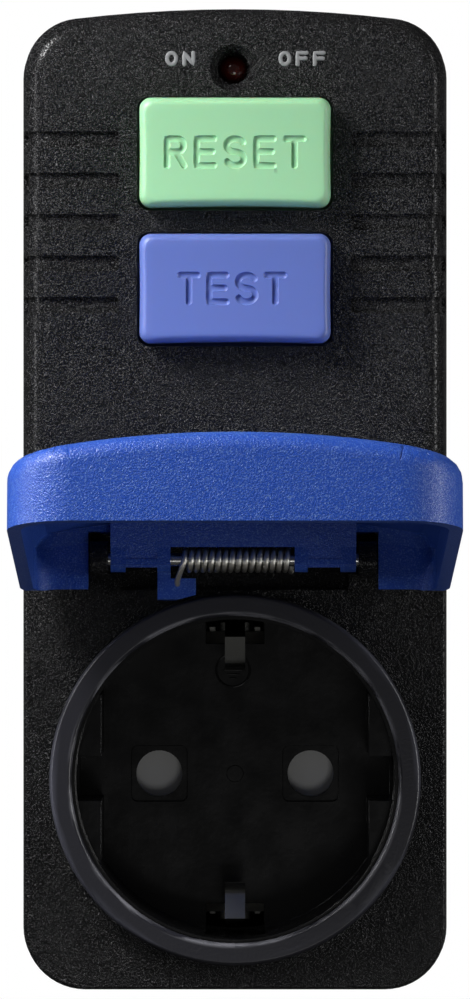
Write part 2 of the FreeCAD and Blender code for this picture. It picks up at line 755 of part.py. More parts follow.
def lid():
    hull = lid_hull(0).cut(lid_hull(LID_WALL))
    heel = (HINGE_Z, HINGE_Z + LID_HEEL + 1)
    rim = LID_RIM_Y + 1
    cuts = [
        box((POST_LEFT[0] - POST_SLOT_GAP, POST_RIGHT[1] + POST_SLOT_GAP), (HINGE_Y + LUG_EDGE, rim), heel),
        box((LUGS[1][1], LUGS[2][0]), (HINGE_Y - 3.4, rim), heel),
    ]
    for post in (POST_LEFT, POST_RIGHT):
        slot = (post[0] - POST_SLOT_GAP, post[1] + POST_SLOT_GAP)
        cuts.append(box(slot, (HINGE_Y + POST_SLOT_EDGE, rim), heel))
    swing = rod(HEEL_SWING_R, V(-LID_HALF_WIDTH, HINGE_Y, HINGE_Z), 2 * LID_HALF_WIDTH, X_AXIS)
    cuts.append(box((-LID_HALF_WIDTH, LID_HALF_WIDTH), (HINGE_Y, rim), heel).cut(swing))
    hull = hull.cut(cuts)
    parts = [hull]
    for span in LUGS:
        parts += lid_lug(span, -LUG_R, LID_HEEL - LID_WALL / 2)
    for left, right in (LUGS[:2], LUGS[2:]):
        bar = box((left[0], right[1]), (HINGE_Y + 0.1, HINGE_Y + 0.8), (HINGE_Z - LUG_R, HINGE_Z - 0.95))
        parts.append(bar)
    tab_z = (HINGE_Z + TAB_HEEL[0], HINGE_Z + TAB_HEEL[1])
    parts.append(box(LUGS[1], (HINGE_Y + LUG_EDGE - 1, HINGE_Y + TAB_REACH), tab_z))
    parts.append(box(TAB_X, (HINGE_Y + TAB_FROM, HINGE_Y + TAB_REACH), tab_z))
    shape = fuse(parts)
    shape = shape.cut(rod(HINGE_PIN_R + TURN_GAP, V(-20, HINGE_Y, HINGE_Z), 40, X_AXIS))
    shape.rotate(V(0, HINGE_Y, HINGE_Z), X_AXIS, -LID_OPEN_DEG)
    collar_room = rod(COLLAR_OUTER_R + 0.4, V(0, HINGE_Y - 5, 0), 10)
    return shape.cut(collar_room)


def hinge_pin():
    return rod(HINGE_PIN_R, V(POST_LEFT[0], HINGE_Y, HINGE_Z), POST_RIGHT[1] - POST_LEFT[0], X_AXIS)


def lid_spring():
    """One wire: a leg on the lid's tab, the coil around the pin, and a leg into the pocket."""
    start, end = LID_SPRING_X
    radius = LID_SPRING_R
    axis = V(start, HINGE_Y, HINGE_Z)
    turns = [axis + V(p.z, -p.x, p.y) for p in helix(radius, LID_SPRING_TURNS, end - start)]
    bend, knee, tip = LID_LEG_DROP
    side = -LID_LEG_SIDE
    lid_leg = [
        axis + V(side, LID_LEG_Y, -tip),
        axis + V(side, LID_LEG_Y, -knee),
        axis + V(side / 3, -radius, -bend),
    ]
    leg_z = HINGE_Z - POCKET_LEG_DROP
    pocket_leg = [V(end, HINGE_Y + radius, leg_z), V(end, FACE_Y + POCKET_DEPTH, leg_z)]
    return spring_wire(lid_leg + turns + pocket_leg, LID_SPRING_WIRE)


def button(z):
    """A keycap with a softly rounded, slightly dished top, a retaining flange and a round stem."""
    half_x = BUTTON_WIDTH / 2
    half_z = BUTTON_HEIGHT / 2


    def section(y, inset):
        x_span = (inset - half_x, half_x - inset)
        z_span = (z - half_z + inset, z + half_z - inset)
        return rounded_rect(x_span, z_span, y, BUTTON_CORNER_R - inset)

    cap = drawn_round(section, FLANGE_Y, BUTTON_FRONT_Y, BUTTON_TOP_R)
    dish_y = BUTTON_FRONT_Y - BUTTON_DISH_R + BUTTON_DISH_DEPTH
    dish = rod(BUTTON_DISH_R, V(-40, dish_y, z), 80, X_AXIS)
    cap = cap.cut(dish)
    wide_x = half_x + BUTTON_FLANGE
    wide_z = half_z + BUTTON_FLANGE
    flange = slab((-wide_x, wide_x), (z - wide_z, z + wide_z), (FLANGE_Y, FLANGE_BACK_Y), BUTTON_CORNER_R)
    return fuse([cap, flange])


def reset_button():
    stem = rod(STEM_R, V(0, FLANGE_BACK_Y, RESET_Z), CARRIER_Y - SLIDE_GAP - FLANGE_BACK_Y)
    return fuse([button(RESET_Z), stem])


def test_button():
    stem = rod(STEM_R, V(0, FLANGE_BACK_Y, TEST_Z), FRAME_BACK_Y + TEST_STEM_OUT - FLANGE_BACK_Y)
    return fuse([button(TEST_Z), stem])


def button_spring(z):
    gap = BUTTON_SPRING_WIRE / 2
    length = FRAME_FRONT_Y - FLANGE_BACK_Y - 2 * gap
    start = V(0, FLANGE_BACK_Y + gap, z)
    return coil(BUTTON_SPRING_R, BUTTON_SPRING_WIRE, BUTTON_SPRING_TURNS, length, start)


def indicator_lens():
    """A light guide with a domed tip and a wider foot behind its sleeve."""
    tip = BLOCK_Y + LENS_TIP_DEPTH
    shank = rod(LENS_R, V(LAMP_X, tip + 1.0, LAMP_Z), LENS_LENGTH - 1.0)
    ball_r = (LENS_R ** 2 + 1.0) / 2
    dome = Part.makeSphere(ball_r, V(LAMP_X, tip + ball_r, LAMP_Z))
    dome = dome.common(rod(LENS_R, V(LAMP_X, tip, LAMP_Z), 1.0))
    foot_y = tip + LENS_LENGTH - LENS_FOOT_THICK
    foot = rod(LENS_FOOT_R, V(LAMP_X, foot_y, LAMP_Z), LENS_FOOT_THICK)
    return fuse([dome, shank, foot])


def indicator_lamp():
    """A small lamp close behind the lens, with two wires down to the board."""
    front = BLOCK_Y + LENS_TIP_DEPTH + LENS_LENGTH + 0.3
    bulb = hidden_rod(LED_R, V(LAMP_X, front, LAMP_Z), LED_LENGTH)
    rim = hidden_rod(LED_R + 0.4, V(LAMP_X, front + LED_LENGTH, LAMP_Z), 1.0)
    wires = []
    half = LED_WIRE / 2
    for side in (-1, 1):
        x = LAMP_X + side * LED_R * 0.6
        y = (front + LED_LENGTH + 1.0, BOARD_FRONT_Y)
        wires.append(box((x - half, x + half), y, (LAMP_Z - half, LAMP_Z + half)))
    return fuse([bulb, rim] + wires)


def circuit_board():
    y = (BOARD_FRONT_Y, BOARD_BACK_Y)
    board = slab((-BOARD_HALF_X, BOARD_HALF_X), BOARD_Z, y, 1.0)
    tongue = box((-BOARD_TONGUE_HALF, BOARD_TONGUE_HALF), y, (BOARD_Z[1] - 2, BOARD_TONGUE_Z))
    board = fuse([board, tongue])
    depth = BOARD_THICK + 2
    cuts = [peg(BOARD_SCREW_R + SLIDE_GAP, V(x, BOARD_FRONT_Y - 1, z), depth) for x, z in board_screw_places()]
    cuts.append(hidden_rod(CORE_INNER_R - 1.2, V(CORE_X, BOARD_FRONT_Y - 1, CORE_Z), depth))
    return board.cut(cuts)


def core_y():
    back = BOARD_FRONT_Y - CORE_OFF_BOARD
    return back - CORE_LENGTH, back


def transformer_core():
    front, back = core_y()
    start = V(CORE_X, front, CORE_Z)
    hole = hidden_rod(CORE_INNER_R, start, back - front)
    return hidden_rod(CORE_OUTER_R, start, back - front).cut(hole)


def transformer_winding():
    """Turns around the core, spaced evenly about it, and the two ends to the board."""
    front, back = core_y()
    turn = WINDING_THICK
    gap = SEAT_GAP
    inner_r = CORE_INNER_R - WINDING_SLACK
    outer = box(
        (inner_r - turn, CORE_OUTER_R + gap + turn),
        (front - gap - turn, back + gap + turn),
        (-0.6, 0.6),
    )
    inner = box((inner_r, CORE_OUTER_R + gap), (front - gap, back + gap), (-2, 2))
    single = outer.cut(inner)
    turns = []
    for number in range(WINDING_COUNT):
        copy = single.copy()
        copy.rotate(V(0, 0, 0), Y_AXIS, 360 / WINDING_COUNT * (number + 0.5))
        copy.translate(V(CORE_X, 0, CORE_Z))
        turns.append(copy)
    return Part.makeCompound(turns)


def mechanism_frame():
    """The plate that guides both stems, on four legs that stand on the board."""
    plate = slab((-FRAME_HALF_X, FRAME_HALF_X), FRAME_Z, (FRAME_FRONT_Y, FRAME_BACK_Y), 1.0)
    legs = []
    for side in (-1, 1):
        x = (side * (FRAME_HALF_X - 1.6), side * FRAME_HALF_X)
        for z in ((FRAME_Z[0], FRAME_Z[0] + FRAME_LEG), (70.0, 70.0 + FRAME_LEG)):
            legs.append(box(x, (FRAME_BACK_Y, BOARD_FRONT_Y), z))
    frame = fuse([plate] + legs)
    start = FRAME_FRONT_Y - 1
    holes = [hidden_rod(STEM_R + SLIDE_GAP, V(0, start, z), FRAME_THICK + 2) for z in (RESET_Z, TEST_Z)]
    return frame.cut(holes)


def contact_carrier():
    """The sliding block that the reset stem pushes, with seats for the two contact bridges."""
    block = slab((-CARRIER_HALF_X, CARRIER_HALF_X), CARRIER_Z, (CARRIER_Y, CARRIER_BACK_Y), 0.8)
    seats = []
    for side in (-1, 1):
        x = side * BRIDGE_X
        half = BRIDGE_WIDTH / 2 + SEAT_GAP
        seats.append(box((x - half, x + half), (CARRIER_BACK_Y - 0.3, CARRIER_BACK_Y + 1), (60, 90)))
    return block.cut(seats)


def moving_contacts():
    """Two bridges, each with a contact rivet at both ends."""
    pieces = []
    middle = (CARRIER_Z[0] + CARRIER_Z[1]) / 2
    for side in (-1, 1):
        x = side * BRIDGE_X
        half = BRIDGE_WIDTH / 2
        y = (CARRIER_BACK_Y - 0.3, CARRIER_BACK_Y - 0.3 + BRIDGE_THICK)
        bridge = box((x - half, x + half), y, (middle - BRIDGE_HALF_Z, middle + BRIDGE_HALF_Z))
        rivets = [peg(CONTACT_R, V(x, y[1], middle + way * RIVET_Z), CONTACT_PAD) for way in (-1, 1)]
        pieces.append(fuse([bridge] + rivets))
    return Part.makeCompound(pieces)


def fixed_contacts():
    """Four posts on the board, which the bridges meet at full travel."""
    middle = (CARRIER_Z[0] + CARRIER_Z[1]) / 2
    tip = CARRIER_BACK_Y - 0.3 + BRIDGE_THICK + CONTACT_PAD + RESET_TRAVEL + 0.2
    posts = []
    for side in (-1, 1):
        for way in (-1, 1):
            x = side * BRIDGE_X
            z = middle + way * RIVET_Z
            foot = tip + CONTACT_PAD
            post = box((x - 1.5, x + 1.5), (foot, BOARD_FRONT_Y), (z - CONTACT_R, z + CONTACT_R))
            posts.append(fuse([post, peg(CONTACT_R, V(x, tip, z), CONTACT_PAD)]))
    return Part.makeCompound(posts)


def trip_coil():
    """A bobbin with its winding, seated in the yoke."""
    start = V(COIL_X, COIL_Y, COIL_Z - COIL_LENGTH / 2)
    top = start + V(0, 0, COIL_LENGTH - COIL_FLANGE_THICK)
    ends = [hidden_rod(COIL_R + COIL_FLANGE, place, COIL_FLANGE_THICK, Z_AXIS) for place in (start, top)]
    body = fuse([hidden_rod(COIL_R, start, COIL_LENGTH, Z_AXIS)] + ends)
    return body.cut(hidden_rod(PLUNGER_R + SLIDE_GAP, start - V(0, 0, 1), COIL_LENGTH + 2, Z_AXIS))


def trip_yoke():
    """A bent steel bracket around the coil, with its back on the board."""
    half = COIL_R + COIL_FLANGE
    low = COIL_Z - COIL_LENGTH / 2
    high = COIL_Z + COIL_LENGTH / 2
    x = (COIL_X - half, COIL_X + half)
    back = box(x, (BOARD_FRONT_Y - YOKE_THICK, BOARD_FRONT_Y), (low - YOKE_THICK, high + YOKE_THICK))
    arms = [
        box(x, (COIL_Y - half, BOARD_FRONT_Y), (low - YOKE_THICK, low)),
        box(x, (COIL_Y - half, BOARD_FRONT_Y), (high, high + YOKE_THICK)),
    ]
    yoke = fuse([back] + arms)
    return yoke.cut(hidden_rod(PLUNGER_R + SLIDE_GAP, V(COIL_X, COIL_Y, low - 3), COIL_LENGTH + 6, Z_AXIS))


def trip_plunger():
    """The steel plunger, drawn down into the coil to release the carrier."""
    top = CARRIER_Z[0] - 0.5
    low = COIL_Z - COIL_LENGTH / 2 + PLUNGER_TRAVEL + 0.5
    shaft = hidden_rod(PLUNGER_R, V(COIL_X, COIL_Y, low), top - low, Z_AXIS)
    collar = hidden_rod(PLUNGER_R + 1.1, V(COIL_X, COIL_Y, top - 1.2), 0.8, Z_AXIS)
    return fuse([shaft, collar])


def plunger_spring():
    start = COIL_Z + COIL_LENGTH / 2 + YOKE_THICK + 0.2
    end = CARRIER_Z[0] - 0.5 - 1.2 - 0.2
    return coil(PLUNGER_R + 0.6, 0.4, 3, end - start, V(COIL_X, COIL_Y, start), Z_AXIS)


def test_contact():
    """A bent strip on the board, which the test stem presses on."""
    foot = BOARD_FRONT_Y - TEST_STRIP_THICK / 2
    tip = FRAME_BACK_Y + TEST_STEM_OUT + TEST_TRAVEL + 0.3
    points = [
        (foot, TEST_Z - 7.0),
        (foot, TEST_Z - 4.0),
        (tip + 0.6, TEST_Z - 1.5),
        (tip + 0.3, TEST_Z + 2.0),
    ]
    return strip(points, TEST_STRIP_WIDTH, TEST_STRIP_THICK)


def test_resistor():
    """An axial resistor with bent wires."""
    centre = V(RESISTOR_X, BOARD_FRONT_Y - RESISTOR_R - 0.4, TEST_Z - 2.6)
    half = RESISTOR_LENGTH / 2
    cap = RESISTOR_LENGTH / 5
    pieces = [peg(RESISTOR_R, centre - V(0, 0, half), RESISTOR_LENGTH, Z_AXIS)]
    for way in (-1, 1):
        end = centre + V(0, 0, way * half)
        pieces.append(peg(RESISTOR_R + 0.3, end, cap, Z_AXIS * -way))
        out = end + V(0, 0, way * 1.8)
        foot = V(out.x, BOARD_FRONT_Y, out.z)
        pieces.append(wire_along([end - V(0, 0, way * 0.2), out, foot], PART_WIRE_R, 0.5))
    return fuse(pieces)


def surge_absorber():
    """A coated disc on two wires, standing off the board."""
    off_board = ABSORBER_R + 1.2
    centre = V(ABSORBER_X, BOARD_FRONT_Y - off_board, CORE_Z)
    pieces = [hidden_rod(ABSORBER_R, centre, ABSORBER_THICK, X_AXIS)]
    for way in (-1, 1):
        start = centre + V(ABSORBER_THICK / 2, ABSORBER_R * 0.75, way * ABSORBER_R * 0.4)
        pieces.append(peg(PART_WIRE_R, start, BOARD_FRONT_Y - start.y))
    return fuse(pieces)


def shutter():
    """Two blades on a hub, which cover both pin holes until both are pushed at once."""
    hub = rod(SHUTTER_HUB_R, V(0, SHUTTER_Y, 0), SHUTTER_THICK)
    blades = box(
        (-SHUTTER_BLADE_R, SHUTTER_BLADE_R),
        (SHUTTER_Y, SHUTTER_Y + SHUTTER_THICK),
        (-SHUTTER_BLADE_HALF, SHUTTER_BLADE_HALF),
    )
    disc = rod(SHUTTER_BLADE_R, V(0, SHUTTER_Y, 0), SHUTTER_THICK)
    return fuse([hub, blades.common(disc)]).cut(rod(SHUTTER_BOSS_R + TURN_GAP, V(0, SHUTTER_Y - 1, 0), 5))


def shutter_spring():
    """A flat return coil on the boss behind the shutter."""
    start = SHUTTER_Y + SHUTTER_THICK + 0.25
    room = BASE_Y - start
    return coil(SHUTTER_BOSS_R + 0.6, 0.35, 2, room - 0.4, V(0, start + 0.1, 0))


def contact_base():
    """The insulating plate in the cup's skirt, with collars around the two contact clips."""
    plate = peg(SOCKET_R - SEAT_GAP, V(0, BASE_Y, 0), BASE_THICK, Y_AXIS, 2 * HIDDEN_ROUND_SIDES)
    collars = []
    cuts = []
    outer = CLIP_R + CLIP_WALL
    for side in (-1, 1):
        centre = V(side * PIN_SPACING / 2, BASE_Y, 0)
        collars.append(hidden_rod(outer + 1.0, centre, BASE_THICK + 1.5))
        cuts.append(hidden_rod(outer + 0.1, centre - V(0, 1, 0), BASE_THICK + 4))
        z = (side * (EARTH_LEG_R - 0.7), side * (SOCKET_R + 1))
        half = EARTH_WINDOW_HALF_X
        cuts.append(box((-half, half), (BASE_Y - 1, SKIRT_END_Y + 1), z))
    return fuse([plate] + collars).cut(cuts)


def socket_clip(side):
    """A slit sleeve that grips a plug pin, with a solder tag behind."""
    centre = V(side * PIN_SPACING / 2, BASE_Y, 0)
    outer = CLIP_R + CLIP_WALL
    sleeve = hidden_rod(outer, centre, CLIP_LENGTH).cut(hidden_rod(CLIP_R + 0.05, centre, CLIP_LENGTH))
    slit_z = (-CLIP_SLIT / 2, CLIP_SLIT / 2)
    sleeve = sleeve.cut(box((centre.x - 5, centre.x + 5), (BASE_Y - 1, BASE_Y + CLIP_LENGTH - 2), slit_z))
    end = BASE_Y + CLIP_LENGTH
    back = hidden_rod(outer, V(centre.x, end, 0), CLIP_WALL)
    return fuse([sleeve, back])


def line_socket_clip():
    return socket_clip(-1)


def neutral_socket_clip():
    return socket_clip(1)


def socket_earth_bracket():
    """One strap with a bowed clip at each end, reaching forward through the base and the cup."""
    half = EARTH_STRIP_THICK / 2
    strap_z = (-EARTH_LEG_R - half, EARTH_LEG_R + half)
    strap = box((-2.5, 2.5), (EARTH_STRAP_Y, EARTH_STRAP_Y + EARTH_STRIP_THICK), strap_z)
    clips = []
    for way in (-1, 1):
        points = [
            (EARTH_STRAP_Y + EARTH_STRIP_THICK, way * EARTH_LEG_R),
            (FLOOR_Y - 1.0, way * EARTH_LEG_R),
            (FLOOR_Y - 4.5, way * (EARTH_BOW_R + 1.6)),
            (FLOOR_Y - 6.5, way * EARTH_BOW_R),
            (FLOOR_Y - 8.0, way * EARTH_BOW_R),
            (FLOOR_Y - 9.5, way * (EARTH_BOW_R + 1.2)),
            (FLOOR_Y - 11.0, way * EARTH_TIP_R),
        ]
        clips.append(strip(points, 2 * EARTH_STRIP_HALF, EARTH_STRIP_THICK))
    return fuse([strap] + clips)


def plug_earth_bracket():
    """The plug's two side strips, joined by a strap that lies on the socket's earth strap."""
    front = EARTH_STRAP_Y + EARTH_STRIP_THICK
    outer = PLUG_R - 0.3
    inner = outer - EARTH_STRIP_THICK
    x = (-PLUG_EARTH_HALF_X, PLUG_EARTH_HALF_X)
    strap = box((-2.5, 2.5), (front, front + EARTH_STRIP_THICK), (-inner, inner))
    strips = []
    for way in (-1, 1):
        strips.append(box(x, (front, PLUG_Y - PLUG_EARTH_END - SEAT_GAP), (way * inner, way * outer)))
    return fuse([strap] + strips)


def plug_pin(side):
    """A round pin with a tapered tip, a neck through the plug face, a shoulder behind it and a short tail."""
    x = side * PIN_SPACING / 2
    inside = PLUG_Y - PLUG_FACE_THICK
    taper_y = PLUG_Y + PIN_LENGTH - PIN_TIP
    neck = rod(PIN_NECK_R, V(x, inside, 0), PLUG_FACE_THICK)
    shank = rod(PIN_R, V(x, PLUG_Y, 0), taper_y - PLUG_Y)
    wide = Part.makeCone(PIN_R, PIN_R * 0.8, PIN_TIP * 0.6, V(x, taper_y, 0), Y_AXIS)
    narrow = Part.makeCone(PIN_R * 0.8, PIN_R * 0.4, PIN_TIP * 0.4, V(x, taper_y + PIN_TIP * 0.6, 0), Y_AXIS)
    shoulder = hidden_rod(PIN_SHOULDER_R, V(x, inside - PIN_SHOULDER_THICK, 0), PIN_SHOULDER_THICK)
    tail = peg(PIN_R - 0.8, V(x, inside - PIN_SHOULDER_THICK - PIN_TAIL, 0), PIN_TAIL)
    return fuse([neck, shank, wide, narrow, shoulder, tail])


def line_pin():
    return plug_pin(-1)


def neutral_pin():
    return plug_pin(1)


def supply_lead(side):
    """From the plug pin's tail, up behind the board, and forward through the core."""
    x = side * PIN_SPACING / 2
    inner_x = side * SUPPLY_LEAD_X
    tail_y = PLUG_Y - PLUG_FACE_THICK - PIN_SHOULDER_THICK - PIN_TAIL
    run_y = BOARD_BACK_Y + 3.5
    through_x = CORE_X + side * SUPPLY_LEAD_APART
    front_y = core_y()[0] - 3.0
    return wire_along(
        [
            V(x, tail_y, 0),
            V(x, tail_y - 5.0, 0),
            V(inner_x, run_y + 5.4, PLUG_R / 2),
            V(inner_x, run_y, PLUG_R + 2.0),
            V(through_x, run_y, CORE_Z),
            V(through_x, front_y, CORE_Z),
            V(through_x + side * 3.0, front_y, CORE_Z + 10.0),
        ],
        LEAD_R,
        LEAD_CORNER,
    )


def line_supply_lead():
    return supply_lead(-1)


def neutral_supply_lead():
    return supply_lead(1)


def load_lead(side):
    """From the clip's tag up to the edge of the board."""
    x = side * PIN_SPACING / 2
    out_x = side * LOAD_LEAD_X
    start_y = BASE_Y + CLIP_LENGTH + CLIP_WALL
    run_y = start_y + 2.7
    end_z = CORE_Z + 1.5
    return wire_along(
        [
            V(x, start_y, 0),
            V(x, run_y, 0),
            V(out_x, run_y, PLUG_R / 2 + 2.8),
            V(out_x, run_y - 0.8, end_z),
            V(out_x, BOARD_BACK_Y, end_z),
        ],
        LEAD_R,
        LEAD_CORNER,
    )


def line_load_lead():
    return load_lead(-1)


def neutral_load_lead():
    return load_lead(1)


def cover_screws():
    seat = REAR_Y - SCREW_SINK
    solids = [
        screw(x, z, seat, SCREW_R, SCREW_LENGTH, SCREW_HEAD_R, SCREW_HEAD_THICK, -1)
        for x, z in cover_screw_places()
    ]
    return Part.makeCompound(solids)


def board_screws():
    solids = [
        screw(x, z, BOARD_FRONT_Y, BOARD_SCREW_R, BOARD_SCREW_LENGTH, BOARD_SCREW_HEAD_R,
              BOARD_SCREW_HEAD_THICK, 1)
        for x, z in board_screw_places()
    ]
    return Part.makeCompound(solids)


def reset_spring():
    return button_spring(RESET_Z)


def test_spring():
    return button_spring(TEST_Z)


PIECES = (
    front_cover, rear_cover, socket_insert, collar_seal, lid, hinge_pin, lid_spring,
    reset_button, test_button, reset_spring, test_spring, indicator_lens, indicator_lamp,
    shutter, shutter_spring, contact_base, line_socket_clip, neutral_socket_clip,
    socket_earth_bracket, plug_earth_bracket, line_pin, neutral_pin,
    circuit_board, mechanism_frame, transformer_core, transformer_winding,
    trip_coil, trip_yoke, trip_plunger, plunger_spring,
    contact_carrier, moving_contacts, fixed_contacts, test_contact, test_resistor, surge_absorber,
    line_supply_lead, neutral_supply_lead, line_load_lead, neutral_load_lead,
    cover_screws, board_screws,
)


def main():
    os.makedirs("parts", exist_ok=True)
    for piece in PIECES:
        shape = piece()
        shape.exportStep(f"parts/{piece.__name__}.step")
        triangles = len(shape.tessellate(0.05)[1])
        state = "closed" if all(solid.isValid() for solid in shape.Solids) else "BROKEN"
        print(f"{piece.__name__}: {len(shape.Solids)} solid, {shape.Volume:.0f} mm3, {triangles} triangles, {state}")


main()
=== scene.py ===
# %% [markdown]
# # A plug-in residual current adapter, dressed for its picture
#
# The CAD model gives every solid its true size and place. This script adds what CAD leaves out:
# materials, engraved words, round spring wire, a worn seal and studio light. It works in this order.
#
# 1. Load the CAD frame.
# 2. Define small helpers for meshes, strokes and materials.
# 3. Make the materials.
# 4. Dress each group of pieces: housing, buttons, lamp, socket, lid, plug and mechanism.
# 5. Set up backdrop, lights and camera.
#
# The frame has X to the right and Z up as seen from the front, and Y to the back. Its origin lies on
# the socket's axis at the housing's rear face. Lengths are written in millimetres and multiplied by MM.

import json
import math

import bmesh
import bpy
from mathutils import Matrix, Vector
from mathutils.geometry import intersect_point_line


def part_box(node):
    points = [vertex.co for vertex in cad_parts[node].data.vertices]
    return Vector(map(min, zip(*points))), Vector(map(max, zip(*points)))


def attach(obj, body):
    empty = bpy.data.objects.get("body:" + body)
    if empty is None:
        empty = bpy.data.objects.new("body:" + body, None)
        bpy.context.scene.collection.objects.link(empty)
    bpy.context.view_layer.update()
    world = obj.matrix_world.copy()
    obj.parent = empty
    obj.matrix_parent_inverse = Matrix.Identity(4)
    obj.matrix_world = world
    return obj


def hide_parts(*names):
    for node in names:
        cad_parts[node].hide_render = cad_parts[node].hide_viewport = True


MM = 0.001

# %% [markdown]
# ## Load the frame
# Everything that ships with an empty file is removed first. The record says which body each CAD node
# belongs to, so a new piece can ride on the same body as the node that it stands for.

# %%
bpy.ops.wm.read_factory_settings(use_empty=True)
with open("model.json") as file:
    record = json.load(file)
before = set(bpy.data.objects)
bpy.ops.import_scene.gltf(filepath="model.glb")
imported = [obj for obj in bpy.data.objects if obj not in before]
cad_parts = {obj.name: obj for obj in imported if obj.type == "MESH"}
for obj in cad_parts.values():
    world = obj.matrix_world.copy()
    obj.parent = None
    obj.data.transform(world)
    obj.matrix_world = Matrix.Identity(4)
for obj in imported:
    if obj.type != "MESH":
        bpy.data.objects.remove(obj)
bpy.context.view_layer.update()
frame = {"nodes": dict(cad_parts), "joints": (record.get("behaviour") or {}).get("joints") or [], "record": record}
scene = bpy.context.scene
BODY_OF = {node: body for body, nodes in frame["record"]["behaviour"]["bodies"].items() for node in nodes}
hinge = next(joint for joint in frame["joints"] if joint["name"] == "lid_hinge")
HINGE_Y = hinge["pos_m"][1]
HINGE_Z = hinge["pos_m"][2]

# %% [markdown]
# ## Mesh helpers
# A CAD node arrives as loose triangles. `skin` merges a copy, marks the edges that stay sharp, and lets
# the copy stand for the node. Face weighting keeps flat faces flat beside rounded ones.

# %%
SMOOTH_DEG = 32


def link(name, mesh):
    obj = bpy.data.objects.new(name, mesh)
    scene.collection.objects.link(obj)
    return obj


def mesh_from(bm, name):
    mesh = bpy.data.meshes.new(name)
    bm.to_mesh(mesh)
    bm.free()
    return mesh


def smooth_by_angle(bm, degrees):
    limit = math.radians(degrees)
    for face in bm.faces:
        face.smooth = True
    for edge in bm.edges:
        edge.smooth = len(edge.link_faces) == 2 and edge.calc_face_angle() < limit


def merged(node):
    """A bmesh of a CAD node with its triangles joined up."""
    bm = bmesh.new()
    source = frame["nodes"][node].data
    vertices = [bm.verts.new(vertex.co) for vertex in source.vertices]
    for polygon in source.polygons:
        corners = [vertices[index] for index in polygon.vertices]
        if len(set(corners)) == len(corners) and not bm.faces.get(corners):
            bm.faces.new(corners)
    bmesh.ops.remove_doubles(bm, verts=bm.verts, dist=0.001 * MM)
    flat = math.radians(0.2)
    bmesh.ops.dissolve_limit(bm, angle_limit=flat, verts=bm.verts, edges=bm.edges)
    return bm


def weigh(obj):
    modifier = obj.modifiers.new("weighted", "WEIGHTED_NORMAL")
    modifier.keep_sharp = True
    modifier.weight = 80


def ease_edges(obj, width):
    """Rounds every sharp edge a little, so that it catches the light."""
    modifier = obj.modifiers.new("eased", "BEVEL")
    modifier.width = width
    modifier.segments = 2
    modifier.limit_method = "ANGLE"
    modifier.angle_limit = math.radians(40)
    modifier.use_clamp_overlap = True
    modifier.miter_outer = "MITER_ARC"


def stand_for(obj, node, material):
    """obj takes a node's place, body and finish."""
    obj.data.materials.clear()
    obj.data.materials.append(material)
    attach(obj, BODY_OF[node])
    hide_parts(node)
    return obj


def skin(node, material, degrees=SMOOTH_DEG, edge=0.0, change=None):
    bm = merged(node)
    if change:
        change(bm)
    smooth_by_angle(bm, degrees)
    obj = link(node + "_skin", mesh_from(bm, node + "_skin"))
    if edge:
        ease_edges(obj, edge)
    weigh(obj)
    return stand_for(obj, node, material)


def add_piece(name, mesh, node, material):
    """A piece that CAD doesn't have, which rides with the body of the node it sits on."""
    obj = link(name, mesh)
    obj.data.materials.append(material)
    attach(obj, BODY_OF[node])
    return obj


# %% [markdown]
# ## Strokes
# Letters and signs are drawn with a round pen: each stroke is a row of points, and the pen's path
# becomes a tube with ball ends. Letters live in a unit box, 1 wide and 1 high.

# %%
ARC_STEPS = 12
PEN_SIDES = 12


def bow(centre, radii, start_deg, end_deg, steps=ARC_STEPS):
    """Points along part of an ellipse."""
    points = []
    for number in range(steps + 1):
        turn = math.radians(start_deg + (end_deg - start_deg) * number / steps)
        points.append((centre[0] + radii[0] * math.cos(turn), centre[1] + radii[1] * math.sin(turn)))
    return points


LETTERS = {
    "R": [
        [(0, 0), (0, 1)] + bow((0.60, 0.755), (0.36, 0.245), 90, -90) + [(0, 0.51)],
        [(0.52, 0.51), (1, 0)],
    ],
    "E": [[(1, 1), (0, 1), (0, 0), (1, 0)], [(0, 0.52), (0.9, 0.52)]],
    "S": [bow((0.5, 0.755), (0.5, 0.245), 25, 270) + bow((0.5, 0.255), (0.5, 0.255), 90, -155)],
    "T": [[(0, 1), (1, 1)], [(0.5, 1), (0.5, 0)]],
    "O": [bow((0.5, 0.5), (0.5, 0.5), 0, 360, 24)],
    "N": [[(0, 0), (0, 1), (1, 0), (1, 1)]],
    "F": [[(1, 1), (0, 1), (0, 0)], [(0, 0.52), (0.9, 0.52)]],
}


def ring_around(point, along, radius, sides, square=1.0):
    """Corners of a ring square to a direction: round, or nearly a square when square is small."""
    along = along.normalized()
    helper = Vector((0, 1, 0)) if abs(along.y) < 0.9 else Vector((1, 0, 0))
    across = along.cross(helper).normalized()
    other = along.cross(across)
    corners = []
    for number in range(sides):
        turn = 2 * math.pi * number / sides
        side, up = math.cos(turn), math.sin(turn)
        side = math.copysign(abs(side) ** square, side)
        up = math.copysign(abs(up) ** square, up)
        corners.append(point + radius * (side * across + up * other))
    return corners


